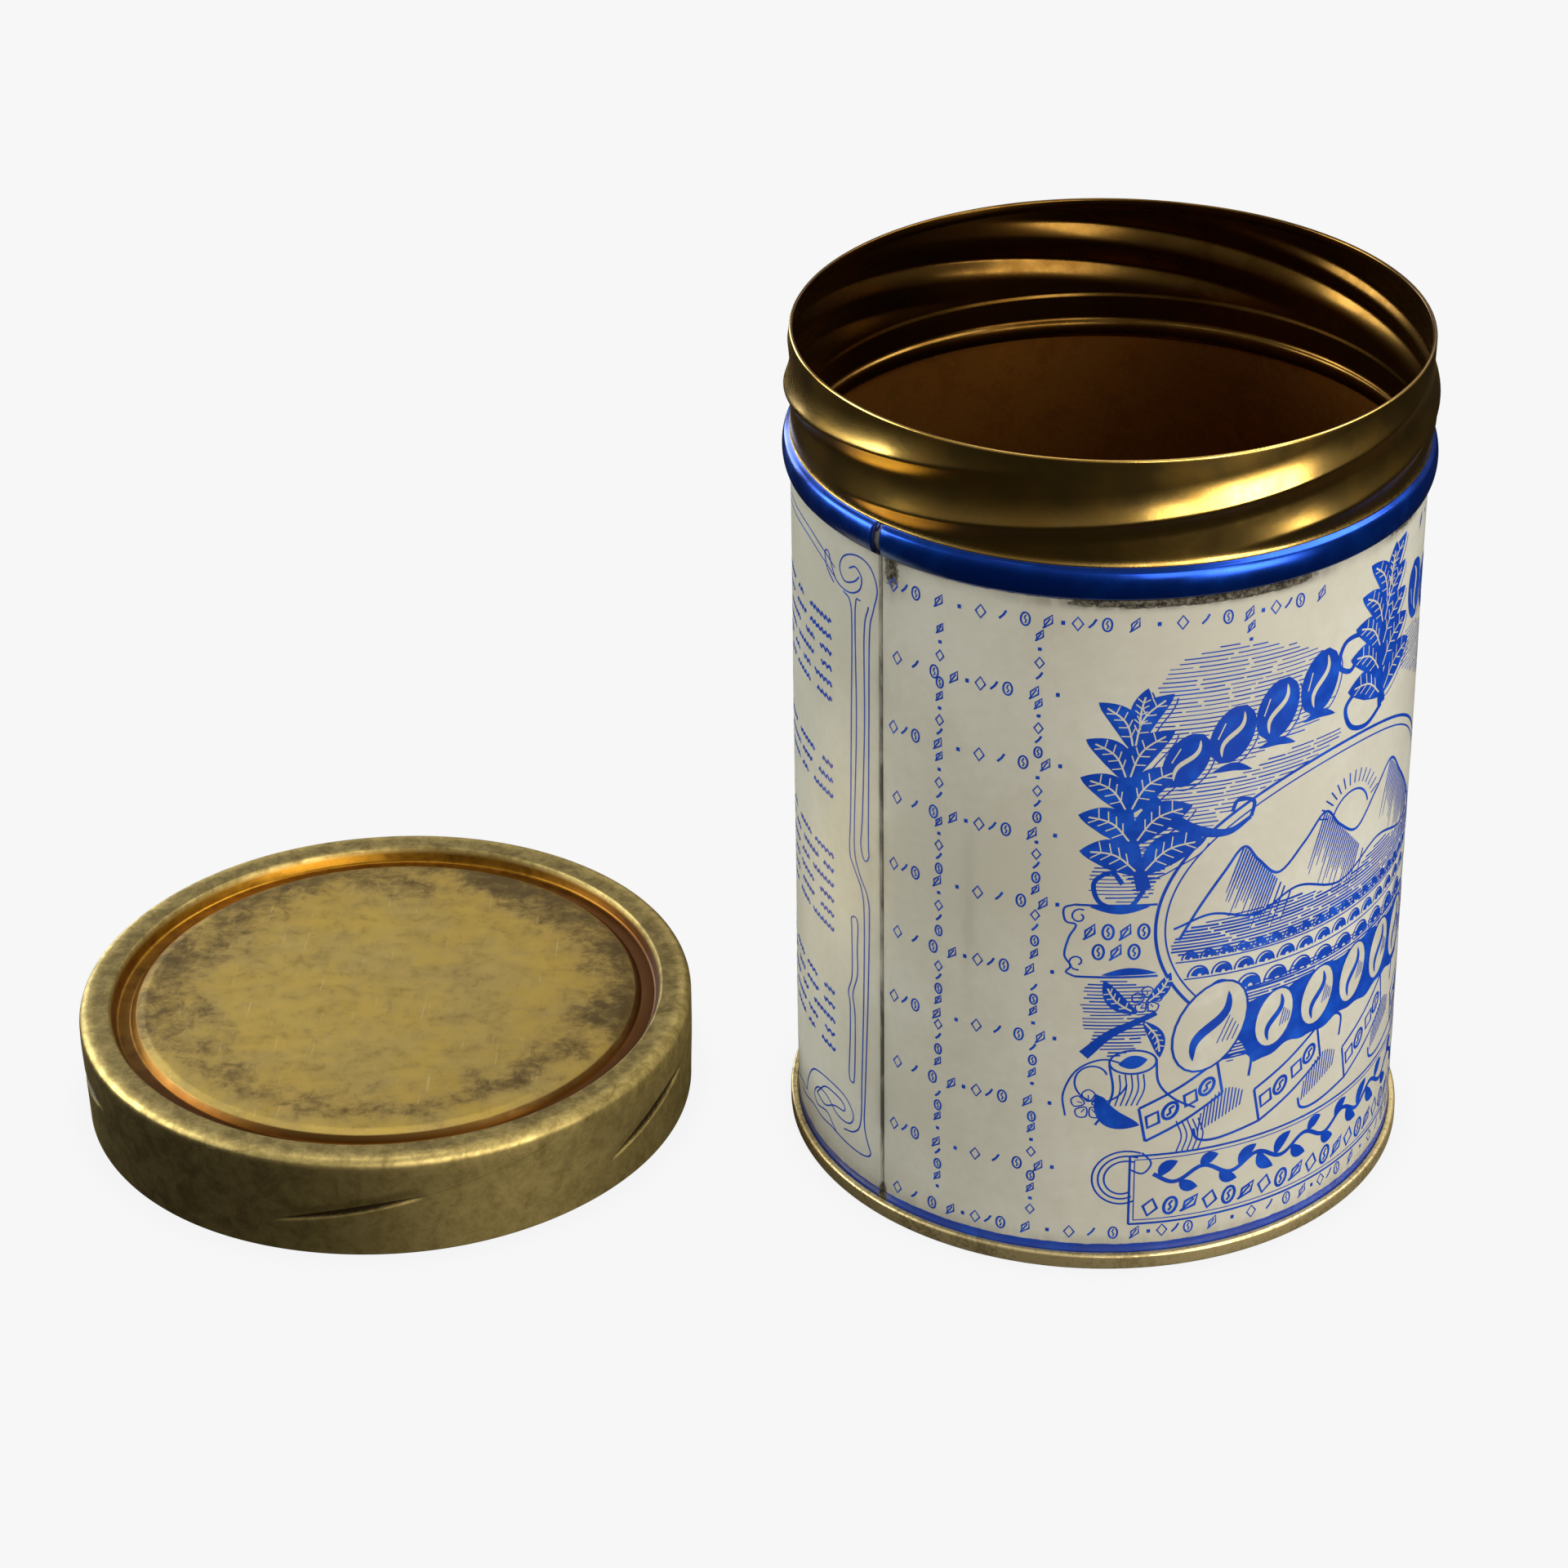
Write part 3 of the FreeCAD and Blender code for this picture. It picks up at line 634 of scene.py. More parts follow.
def make_wall():
    angles = wall_angles()
    hook = outline([(52.22, WALL_LOW, 0), (53.44, WALL_LOW, 0.15), (53.44, 1.98, 0.1),
                    (53.16, 1.98, 0.1), (53.16, WALL_LOW + SHEET, 0.05),
                    (WALL_RADIUS, WALL_LOW + SHEET, 0.1), (WALL_RADIUS, 2.6, 0)], 0.8)
    levels = np.concatenate([
        np.array([3.0, 3.6, 4.4, 5.2, 6.5, 8.5]), np.arange(11.0, 117.0, 3.0),
        np.arange(118.0, BEAD_FOOT, 0.6),
        BEAD_CENTRE + BEAD_HALF * np.sin(np.linspace(-1, 1, 27) * math.pi / 2)])
    outer = np.stack([WALL_RADIUS + bead_bulge(levels), levels], -1)
    inner_levels = np.concatenate([levels[:5:-2], [5.0, 3.0, 1.5]])
    inner = np.stack([WALL_RADIUS - SHEET + bead_bulge(inner_levels), inner_levels], -1)
    profile = np.concatenate([hook, outer, inner])
    is_inner = np.arange(len(profile)) >= len(hook) + len(outer)
    radius, height = spun(profile, angles)

    # the side seam: a lap outside, an open line cut deeper across the bead, a fold inside
    s = angle_gap(angles, SEAM_ANGLE)[:, None] * WALL_RADIUS
    on_bead = smooth((height - BEAD_FOOT) / 0.8)
    line = smooth((LINE_HALF + 0.26 * on_bead - np.abs(s)) / 0.22)
    deeper = LINE_DEPTH_ON_BEAD * bead_bulge(height) / BEAD_RISE
    lap = lap_above(s) - 0.10 * (s > 0) * smooth(1 - s / LAP_REACH)
    above_foot = (height > FOOT_HEIGHT) & ~is_inner
    radius = radius + np.where(above_foot, lap - line * (LINE_DEPTH + deeper), 0)
    radius = radius - np.where(is_inner, line * deeper, 0)
    in_fold = is_inner & (height < COLLAR_LOW - 0.3) & (height > 3.8)
    fold = SEAM_FOLD * smooth((SEAM_FOLD_HALF + 0.15 - np.abs(s)) / 0.3)
    radius = radius - np.where(in_fold, fold, 0) + wall_sway(angles[:, None], height)

    # worn and dirty places, found by the distance s from the seam and by the height
    under_bead = smooth((height - BEAD_FOOT + 2.3) / 1.7) * smooth((BEAD_FOOT + 0.9 - height) / 0.5)
    crust = np.maximum(smooth((s - 18) / 26) * smooth((84 - s) / 16), 0.9 * hump(s, 99, 15))
    crust = np.maximum(crust, 0.7 * hump(s, -120, 30))
    corner = hump(s, 2.6, 4.6) * smooth((height - 117) / 7) * (height < BEAD_FOOT + 0.5)
    foot_corner = hump(s, 0.5, 4.5) * smooth((10 - height) / 6)
    bead_chips = on_bead * hump(s, -1.2, 1.6)
    patchy = 0.5 + 0.5 * np.sin(height * 0.31 + 1.2) * np.sin(height * 0.073 + 0.4)
    seam_edge = np.exp(-np.abs(s) / 0.9) * patchy * (height < BEAD_FOOT)
    wear = (0.72 * under_bead * crust + 0.60 * corner + 0.33 * seam_edge + 0.38 * bead_chips
            + 0.45 * foot_corner)
    grime = (1.6 * line + 0.42 * np.exp(-np.abs(s) / 1.3) * (0.35 + 0.65 * patchy)
             + 0.85 * under_bead * (0.14 + crust) + 0.35 * smooth((7.0 - height) / 2.6)
             + 0.16 * hump(s, 17.5, 2.2) * hump(height, 66, 26) + 0.6 * corner)
    masks = {"up": height, "wear": np.clip(wear, 0, 0.9) * ~is_inner,
             "grime": np.clip(grime, 0, 1)}
    wall = turned_mesh("printed_wall", angles, radius, height, masks=masks)
    attach(wall, "tin", "can_body", "printed_tinplate", tinplate_finish(), interior_finish())
    inner_face = np.tile(is_inner | np.roll(is_inner, -1), len(angles))
    wall.data.polygons.foreach_set("material_index", inner_face.astype(np.int32))


# ------------------------------------------------------------------ threaded collar
THREAD_LEAD = 36.0
THREAD_RISE = 1.10
THREAD_LEVEL = 140.0
THREAD_ANGLES = (38.5, 111.0, 181.5, 271.0, 352.0)
THREAD_ABOVE = 4.6
THREAD_BELOW = 3.3
THREAD_LOW = 133.4
THREAD_HIGH = 148.2


def thread_bulge(angle, height):
    """Rolled thread ridges: a fairly sharp crest, a long slope above, a short one below."""
    total = np.zeros(np.broadcast(angle, height).shape)
    for at in THREAD_ANGLES:
        crest = THREAD_LEVEL + THREAD_LEAD * (angle - math.radians(at)) / (2 * math.pi)
        gap = height - crest
        gap = gap - THREAD_LEAD * np.round(gap / THREAD_LEAD)
        line = height - gap
        eased = np.sqrt(gap ** 2 + 0.05) - 0.224
        reach = np.where(gap > 0, THREAD_ABOVE, THREAD_BELOW)
        share = np.clip(1 - eased / reach, 0, 1)
        ends = smooth((line - THREAD_LOW) / 3.4) * smooth((THREAD_HIGH - line) / 3.6)
        total = total + (THREAD_RISE * share ** 1.7 * ends) ** 3
    return np.cbrt(total)


def make_collar():
    """Rows of (height, how far in from the outer face): up outside, over the folded rim,
    down inside and round the folded lower lip."""
    angles = even_angles(440)
    fold = SHEET + RIM_FOLD
    outside = [*np.arange(COLLAR_LOW + 0.4, BODY_TOP, 1.3),
               *(BODY_TOP + up for up in (0.06, 0.14, 0.26, 0.45, 0.7, 1.0)),
               *np.arange(BODY_TOP + 1.3, RIM_TOP - 0.6, 0.24)]
    rows = [(z, 0.0) for z in outside]
    rows += [(RIM_TOP - fold / 2 * (1 - math.sin(turn)), fold / 2 * (1 - math.cos(turn)))
             for turn in np.linspace(0, math.pi, 9)]
    rows += [(RIM_TOP - 0.9, fold), (RIM_TOP - 1.35, fold), (RIM_TOP - 1.55, fold - 0.08),
             (RIM_TOP - 1.68, SHEET + 0.12), (RIM_TOP - 1.85, SHEET)]
    rows += [(z, SHEET) for z in np.arange(RIM_TOP - 2.2, COLLAR_LOW + 3.6, -0.3)]
    rows += [(COLLAR_LOW + 1.55 + 1.5 * math.cos(turn), SHEET + 0.62 * math.sin(turn) ** 0.8)
             for turn in np.linspace(0, math.pi, 13)]
    rows += [(COLLAR_LOW, SHEET - 0.13), (COLLAR_LOW + 0.05, 0.05)]
    height, inward = np.array(rows).T
    in_neck = height > BODY_TOP + 0.03
    plain = np.where(in_neck, NECK_RADIUS, SLEEVE_RADIUS)
    flare = (in_neck & (inward == 0)) * 0.34 * np.exp(-(height - BODY_TOP) / 0.38)
    sway = 0.07 * ripple(angles[:, None], height, 3, 22.0)
    radius = (plain + flare - inward + thread_bulge(angles[:, None], height)
              + sway * smooth((height - BODY_TOP - 1.0) / 4.0))
    masks = {"dull": 0.55 * smooth((BODY_TOP + 1.2 - height) / 1.2) * (inward == 0),
             # inside carries the collar's dark inner colour, partly painted shade of the cavity
             "inside": smooth((inward - 0.16) / 0.12)}
    height = np.broadcast_to(height, radius.shape)
    collar = turned_mesh("threaded_collar", angles, radius, height, masks=masks)
    attach(collar, "tin", "neck_collar", "gold_lacquer", gold_finish())


# ------------------------------------------------------------------ bottom end
def make_bottom():
    angles = even_angles(360)
    profile = outline([
        (0, 3.2, 0), (35.2, 3.2, 0.6), (37.7, 4.05, 2.5), (40.2, 3.2, 0.6), (51.6, 3.2, 0.3),
        (51.89, 2.7, 0.3), (51.89, 0.0, 0.25), (53.91, 0.0, 0.55), (53.91, FOOT_HEIGHT, 0.5),
        (52.72, FOOT_HEIGHT, 0.1), (52.72, 2.45, 0.1), (53.1, 2.4, 0.05), (53.1, 2.2, 0.02),
        (52.58, 2.1, 0.1), (52.2, 2.3, 0.1), (52.17, 3.0, 0.1),
        (51.9, 3.48, 0.3), (40.2, 3.48, 0.6), (37.7, 4.38, 2.5), (35.2, 3.48, 0.6), (0, 3.48, 0),
    ], 1.2)
    radius, height = spun(profile, angles)
    wobble = 0.035 * ripple(angles[:, None], height, 8, 6.0) - 0.035
    radius = radius + wobble * ((radius > 53.4) & (height > 0.4))
    bottom = turned_mesh("bottom_pan", angles, radius, height, closed=False)
    attach(bottom, "tin", "bottom_end", "gold_lacquer", foot_finish(), interior_finish())
    for face in bottom.data.polygons:
        inside = math.hypot(face.center.x, face.center.y) < 52.1 * MM and face.normal.z > 0.2
        face.material_index = int(inside)


# ------------------------------------------------------------------ lid
LUG_CENTRES = (270.0, 336.0, 54.0, 126.0, 198.0)
LUG_SPAN = 28.0
LUG_LOW = 6.3
LUG_RISE = 5.3
LUG_DEPTH = 0.85
CREASE_SHADE_HALF = 0.40
PANEL_PARTS_ABOVE = 16.0


def lug_creases(angle, height):
    """For each lug, the height above its crease, and its strength: 1 half way, 0 at both
    ends."""
    for centre in LUG_CENTRES:
        along = angle_gap(angle, math.radians(centre)) / math.radians(LUG_SPAN) + 0.5
        strength = np.sin(np.clip(along, 0, 1) * math.pi) ** 0.8
        yield height - LUG_LOW - LUG_RISE * along, strength


def lug_press(angle, height):
    """How far the skirt is pressed in: easing in above each crease, sharp under it."""
    return sum(
        strength * np.where(gap < 0, smooth(1 + gap / 0.5), smooth(1 - gap / 2.8) ** 1.5)
        for gap, strength in lug_creases(angle, height)) * LUG_DEPTH


def lug_crease_shade(angle, height):
    """1 in the dark line of painted shade along each lug's crease, which tapers to both ends."""
    slits = sum(smooth((CREASE_SHADE_HALF * strength - np.abs(gap)) / 0.3 + 0.5) * (strength > 0)
                for gap, strength in lug_creases(angle, height))
    return np.clip(slits, 0, 1)


def make_lid():
    angles = even_angles(480)
    inner = SKIRT_FOOT - SHEET
    shoulder_in = SHOULDER_RADIUS - SHEET
    top, floor, panel = LID_HEIGHT, LID_HEIGHT - 2.6, LID_HEIGHT - 0.9

    def pace(point):
        return 0.24 if point[0] > 50 and 3.5 < point[1] < 15.0 else 1.6

    profile = outline([
        (0, panel - SHEET, 0), (43.2, panel - SHEET, 1.0), (44.3, panel - 0.6, 1.0),
        (45.55, floor - SHEET, 0.5), (48.4, floor - SHEET, 0.5), (49.6, top - SHEET, 0.5),
        (shoulder_in, top - SHEET, 3.3), (inner, 0.55, 0.3), (inner - 0.35, 0.35, 0.12),
        (inner - 0.1, 0.0, 0.15), (SKIRT_FOOT, 0.0, 0.25), (SHOULDER_RADIUS, 15.9, 1.0),
        (SHOULDER_RADIUS, top, 3.6), (49.25, top, 0.55), (48.15, floor, 0.7), (45.6, floor, 0.7),
        (44.5, panel - 0.55, 0.7), (43.0, panel - 0.05, 2.2), (39.0, panel, 3.0), (0, panel, 0),
    ], pace)
    radius, height = spun(profile, angles)
    on_top = height > PANEL_PARTS_ABOVE
    foot_row = int(np.argmax((profile[:, 0] > 54.1) & (profile[:, 1] < 0.05)))
    is_outer = np.arange(len(profile)) >= foot_row
    radius = radius - lug_press(angles[:, None], height) * ((radius > 52.5) & ~on_top)
    radius = radius + (0.045 * ripple(angles[:, None], height, 21, 25.0) - 0.06) * (radius > 50)
    across, along = radius * np.cos(angles)[:, None], radius * np.sin(angles)[:, None]
    dent = 0.05 * np.sin(across * 0.09 + 1.0) * np.sin(along * 0.11 + 0.3)
    dent -= 0.06 * np.exp(-((across + 12) ** 2 + (along - 9) ** 2) / 160.0)
    height = height + dent * smooth((42.0 - radius) / 8.0) * on_top
    turn = angles[:, None]
    # painted shade: the left side of the lid, where less light falls
    shaded_left_side = hump(angle_gap(turn, math.radians(222)), 0.0, 1.45)
    on_flange = smooth((height - LID_HEIGHT + 0.5) / 0.4) * smooth((53.0 - radius) / 1.6)
    front = smooth((-np.sin(turn) - 0.2) / 0.5)
    masks = {
        "panel": on_top * smooth((44.75 - radius) / 0.5),
        "groove": on_top * smooth((radius - 44.25) / 0.5) * smooth((49.05 - radius) / 0.35),
        # painted highlight: at the front the panel's edge is spared the darker patches, leaving a
        # lighter band
        "edge": smooth((radius - 22.0) / 21.0) * (1 - 0.75 * front * smooth((radius - 38.0) / 4.0)),
        # painted light: the groove's lit side, set by the angle round the lid
        "groove_painted_light": smooth((np.sin(turn - 0.7) + 0.2) / 0.9),
        # painted shade on the left side, and a darker flange
        "left_shade_and_dark_flange": np.maximum(0.95 * shaded_left_side * (height < LID_HEIGHT - 0.9), 0.60 * on_flange),
        # painted shade along the lug creases
        "slit": lug_crease_shade(turn, height) * (radius > 52.5) * is_outer,
    }
    lid = turned_mesh("pressed_lid", angles, radius, height, LID_CENTRE, False, masks)
    attach(lid, "lid", "lid_shell", "aged_gold", aged_gold_finish())


def make_gasket():
    low, high = box_mm("lid_gasket")
    outer, inner = (high[0] - low[0]) / 2, 49.85
    angles = even_angles(300)
    loop = outline([(inner, low[2] + 0.3, 0), (inner, low[2], 0.18), (outer, low[2], 0.18),
                    (outer, high[2], 0.18), (inner, high[2], 0.18), (inner, low[2] + 0.35, 0)], 0.4)
    radius, height = spun(loop, angles)
    height = height + 0.05 * ripple(angles[:, None], radius, 31, 9.0) * (height < low[2] + 0.5)
    board = turned_mesh("liner_ring", angles, radius, height, (low + high) / 2)
    finish = plain_finish("waxed_board", (0.42, 0.33, 0.20), (0.25, 0.18, 0.10), 0.7, 0.6)
    attach(board, "lid_liner", "lid_gasket", "liner_board", finish)


def dress_frame_nodes():
    """CAD nodes that stay get a procedural finish."""
    compound = plain_finish("seam_compound", (0.05, 0.045, 0.04), (0.11, 0.10, 0.085), 0.6, 0.6)
    solder = plain_finish("solder", (0.42, 0.42, 0.40), (0.24, 0.23, 0.21), 0.8, 0.35, 1.0, 0.15)
    for node, material in (("neck_seal", compound), ("bottom_seal", compound),
                           ("side_seam_solder", solder)):
        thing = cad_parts[node]
        thing.data.materials.clear()
        thing.data.materials.append(material)


# ------------------------------------------------------------------ print on the wall
INK_LIFT = 0.025
LAYER_LIFT = 0.02
LANE_WIDTH = 2.2


def smooth_line(points, step=0.7, closed=False):
    """A Catmull-Rom curve through given (s, z) points."""
    points = np.array(points, float)
    if closed:
        points = np.concatenate([points[-1:], points, points[:2]])
    else:
        points = np.concatenate([2 * points[:1] - points[1:2], points,
                                 2 * points[-1:] - points[-2:-1]])
    made = []
    for a, b, c, d in zip(points, points[1:], points[2:], points[3:]):
        count = max(2, math.ceil(np.linalg.norm(c - b) / step))
        t = np.arange(count)[:, None] / count
        made.append(0.5 * (2 * b + (c - a) * t + (2 * a - 5 * b + 4 * c - d) * t ** 2
                           + (3 * b - a - 3 * c + d) * t ** 3))
    if not closed:
        made.append(points[-2:-1])
    return np.concatenate(made)


def straight(start, end, step=2.4):
    start, end = np.array(start, float), np.array(end, float)
    count = max(1, math.ceil(np.linalg.norm(end - start) / step))
    return start + (end - start) * np.linspace(0, 1, count + 1)[:, None]


def arc(centre, across, up, begin, end, step=0.8):
    """Part of an ellipse, in degrees."""
    count = max(6, math.ceil(math.radians(abs(end - begin)) * max(across, up) / step))
    turn = np.radians(np.linspace(begin, end, count + 1))
    return np.stack([centre[0] + across * np.cos(turn), centre[1] + up * np.sin(turn)], -1)


def curl(centre, start_radius, end_radius, begin, end, step=0.6):
    """A spiral that winds from one radius to another, in degrees."""
    mean = (start_radius + end_radius) / 2
    count = max(8, math.ceil(math.radians(abs(end - begin)) * mean / step))
    turn = np.radians(np.linspace(begin, end, count + 1))
    radius = np.linspace(start_radius, end_radius, count + 1)
    return np.stack([centre[0] + radius * np.cos(turn), centre[1] + radius * np.sin(turn)], -1)


class Print:
    """Inked ribbons laid on the wall. Cream details go to the pale print, which lies over
    this one, and draw is the random source that the prints share."""

    def __init__(self, pale=None, draw=None):
        self.points, self.faces = [], []
        self.pale, self.draw = pale, draw
        self.mirror = None

    def both_sides(self, centre):
        """Runs a loop twice: as drawn, then with every ribbon mirrored about s = centre."""
        for self.mirror in (None, centre):
            yield
        self.mirror = None

    def stroke(self, path, width, closed=False, layer=0):
        path = np.array(path, float)
        if self.mirror is not None:
            path = np.stack([2 * self.mirror - path[:, 0], path[:, 1]], -1)
        width = np.broadcast_to(np.asarray(width, float), (len(path),))
        if closed:
            tangent = np.roll(path, -1, 0) - np.roll(path, 1, 0)
        else:
            tangent = np.gradient(path, axis=0)
        tangent = tangent / np.maximum(np.linalg.norm(tangent, axis=1), 1e-9)[:, None]
        side = np.stack([-tangent[:, 1], tangent[:, 0]], -1)
        lanes = max(1, math.ceil(width.max() / LANE_WIDTH))
        offset = np.linspace(-0.5, 0.5, lanes + 1)
        grid = path[:, None] + side[:, None] * (width[:, None] * offset)[..., None]
        base = len(self.points)
        self.points += [(s, z, layer) for s, z in grid.reshape(-1, 2)]
        count = len(path)
        for step in range(count if closed else count - 1):
            near, far = base + step * (lanes + 1), base + (step + 1) % count * (lanes + 1)
            for lane in range(lanes):
                self.faces.append((near + lane, far + lane, far + lane + 1, near + lane + 1))

    def curve(self, points, width, step=0.7, closed=False):
        self.stroke(smooth_line(points, step, closed), width, closed)

    def detail(self, path, width):
        self.pale.mirror = self.mirror
        self.pale.stroke(path, width, layer=1)

    def build(self, name, material):
        s, height, layer = np.array(self.points).T
        angle = SEAM_ANGLE + s / WALL_RADIUS
        radius = WALL_RADIUS + wall_sway(angle, height) + INK_LIFT + LAYER_LIFT * layer
        radius = radius + lap_above((s + ROUND / 2) % ROUND - ROUND / 2)
        placed = np.stack([radius * np.cos(angle), radius * np.sin(angle), height], -1)
        mesh = bpy.data.meshes.new(name)
        mesh.from_pydata((placed * MM).tolist(), [], self.faces)
        mesh.shade_smooth()
        thing = bpy.data.objects.new(name, mesh)
        bpy.context.scene.collection.objects.link(thing)
        attach(thing, "tin", None, "printed_tinplate", material)


def swell(count, width, power=0.8, least=0.06):
    """Widths that grow from nothing and shrink again, as in a leaf."""
    return np.maximum(width * np.sin(math.pi * np.linspace(0, 1, count)) ** power, least)


def heading(degrees):
    return np.array([math.cos(math.radians(degrees)), math.sin(math.radians(degrees))])


def left_of(way):
    return np.array([-way[1], way[0]])


# Small generic ornaments about (0, 0): the usual line width, then the lines of each as
# points, whether they close, and their share of the width.
LEAF = (0.32, (([(-0.55, -0.95), (-0.55, 0.1), (0.5, 0.98), (0.5, -0.2)], True, 1),
               ([(-0.75, -1.1), (0.25, 0.5)], False, 0.8)))
DOT = (0.62, (([(0, -0.3), (0, 0.3)], False, 1),))
DIAMOND = (0.32, (([(0.72, 0), (0, 0.98), (-0.72, 0), (0, -0.98)], True, 1),))
DASH = (0.38, (([(-0.5, -0.5), (0.1, 0.1), (0.5, 0.8)], False, 1),))
BEAN = (0.32, ((arc((0, 0), 0.62, 0.95, 0, 330, 0.42), True, 1),
               ([(0.10, 0.62), (-0.14, 0.15), (0.14, -0.2), (-0.05, -0.62)], False, 0.8)))
MARKS = (LEAF, DOT, DIAMOND, DASH, BEAN)


def mark(sheet, kind, s, z, size=1.2, turn=0.0, width=None):
    """One small ornament at (s, z)."""
    usual, lines = kind
    co, si = math.cos(turn), math.sin(turn)
    for points, closed, share in lines:
        across, up = np.array(points, float).T * size
        turned = np.stack([across * co - up * si + s, across * si + up * co + z], -1)
        sheet.stroke(turned, (width or usual) * share, closed)


ROW_TOP = 122.3
ROW_PITCH = 12.84
ROW_COUNT = 10
ROW_REPEAT = 33.5
ROW_START = 0.7
WIDE_STEP = 3.7
TIGHT_STEP = 2.3
LONG_STEP = 4.4
COLUMN_SIZE = 1.0
FRONT_CENTRE = 84.0
PANEL_LEFT = 34.0


def row_marks(end, shift):
    """Places and kinds along one row: five spaced marks, then five close ones."""
    place, number = ROW_START - ROW_REPEAT + shift, 0
    while place < end:
        if place > ROW_START:
            yield place, MARKS[number % 5]
        spaced, last = number % 10 < 5, number % 10 == 9
        place += WIDE_STEP if spaced else LONG_STEP if last else TIGHT_STEP
        number += 1


def lattice(sheet):
    """Rows and columns of small marks beside the front panel, on both of its sides. The
    first and last rows run the whole way, with a gap for the title in the first."""
    far = 2 * FRONT_CENTRE
    for row in range(ROW_COUNT):
        z = ROW_TOP - ROW_PITCH * row
        whole = row in (0, ROW_COUNT - 1)
        shift = 12.5 if row % 2 == 0 else 29.0
        for s, kind in row_marks(far - 1 if whole else PANEL_LEFT - 1, shift):
            if row == 0 and 76 < s < far - 60:
                continue
            mark(sheet, kind, s, z)
            if not whole:
                mark(sheet, kind, far - s, z)
    for s, z in ((12.06, ROW_TOP - 4.8), (29.0, ROW_TOP - 2.6)):
        number = 0
        while z > 9.0:
            if abs((ROW_TOP - z + ROW_PITCH / 2) % ROW_PITCH - ROW_PITCH / 2) >= 1.5:
                mark(sheet, MARKS[number % 5], s, z, COLUMN_SIZE)
                mark(sheet, MARKS[(number + 2) % 5], far - s, z, COLUMN_SIZE)
            z -= 2.43 if number % 10 < 5 else 2.2
            number += 1
    for step in range(2):
        mark(sheet, MARKS[step], 62.8, ROW_TOP - 2.4 - 2.3 * step, COLUMN_SIZE)


# ------------------------------------------------------------------ text panel at the back
BACK_CENTRE = FRONT_CENTRE - ROUND / 2
LINE_PITCH = 2.9
LINE_LENGTH = 58
PARAGRAPHS = ((109.0, 6), (82.0, 3), (64.7, 6), (37.6, 5))


def greeked_line(sheet, right, z, length, draw):
    """A line of short wavy dashes that only suggests words."""
    s = right
    while s > right - length:
        word = draw.uniform(3.0, 8.5)
        count = max(4, int(word / 0.42))
        wave = 0.42 * np.sin(np.arange(count) * 2.1 + draw.uniform(0, 6))
        sheet.stroke(np.stack([np.linspace(s - word, s, count), z + wave], -1), 0.60)
        s -= word + draw.uniform(1.6, 3.4)


def whiplash_border(sheet):
    """Double lines that end in loops, in the manner of 1900."""
    lines = [
        [(-9.6, 116.4), (-7.6, 115.2), (-7.2, 109), (-7.5, 94), (-7.9, 77), (-8.3, 68.5),
         (-7.0, 65.6), (-5.0, 62.2), (-4.4, 57), (-4.6, 41), (-5.2, 25), (-5.6, 15.6), (-7.4, 12.6),
         (-10.6, 11.4)],
        [(-4.9, 116.6), (-6.3, 114.4), (-6.1, 94), (-6.9, 74), (-6.8, 68.4), (-5.6, 65.2),
         (-3.4, 61.4), (-3.1, 56), (-3.5, 41), (-4.3, 23), (-4.6, 15.8), (-3.7, 12.2), (-2.9, 10.4),
         (-4.2, 9.2), (-8, 8.9), (-15, 9.4)],
        [(-2.9, 116.2), (-4.0, 111), (-4.0, 94), (-4.7, 77), (-5.2, 71), (-4.2, 68.4), (-3.1, 69.6),
         (-3.2, 73), (-2.9, 94), (-2.7, 111), (-1.7, 116), (-0.7, 120), (-2.4, 123.4),
         (-5.6, 124.3),
         (-9.2, 122.9), (-10.6, 120.3), (-9.2, 118.4), (-6.6, 119.3), (-5.2, 120.7)],
        [(-12.4, 116.7), (-14.6, 118.4), (-15.4, 121.0), (-14.2, 121.6), (-13.1, 119.4),
         (-11.5, 117.4),
         (-9.0, 116.8), (-6.8, 117.2), (-5.0, 118.6), (-4.6, 120.8), (-6.2, 122.1), (-7.9, 121.2)],
        [(-27, 9.6), (-26, 12.6), (-22.4, 16.8), (-16, 18.5), (-10.2, 18.3), (-7.7, 15.7),
         (-9.0, 13.4),
         (-12.8, 13.1), (-16.4, 14.7), (-20.2, 14.4), (-22.3, 12.1), (-20.8, 10.5), (-16.6, 11.4),
         (-14, 9.8), (-12.8, 9.1)],
        [(-27, 9.6), (-30.5, 9.2), (-35, 7.6)],
        [(-15, 9.4), (-19, 9.0), (-23, 9.2), (-27, 8.2), (-31, 7.6)],
        [(-21.0, 12.9), (-17.5, 12.4), (-13.8, 14.4), (-10.4, 15.2), (-11.4, 16.8), (-17, 16.4),
         (-21.0, 12.9)],
    ]
    bulb = [(-7.9, 55.6), (-6.8, 56.2), (-6.1, 55.0), (-6.3, 50), (-6.3, 45), (-7.6, 40.5),
            (-7.0, 36),
            (-7.3, 24.2), (-8.0, 22.5), (-8.9, 23.7), (-8.5, 31), (-8.4, 38), (-8.9, 40.6),
            (-7.8, 44.4), (-7.8, 53.4)]
    for line in lines:
        sheet.curve(line, 0.30)
    sheet.curve(bulb, 0.30, closed=True)


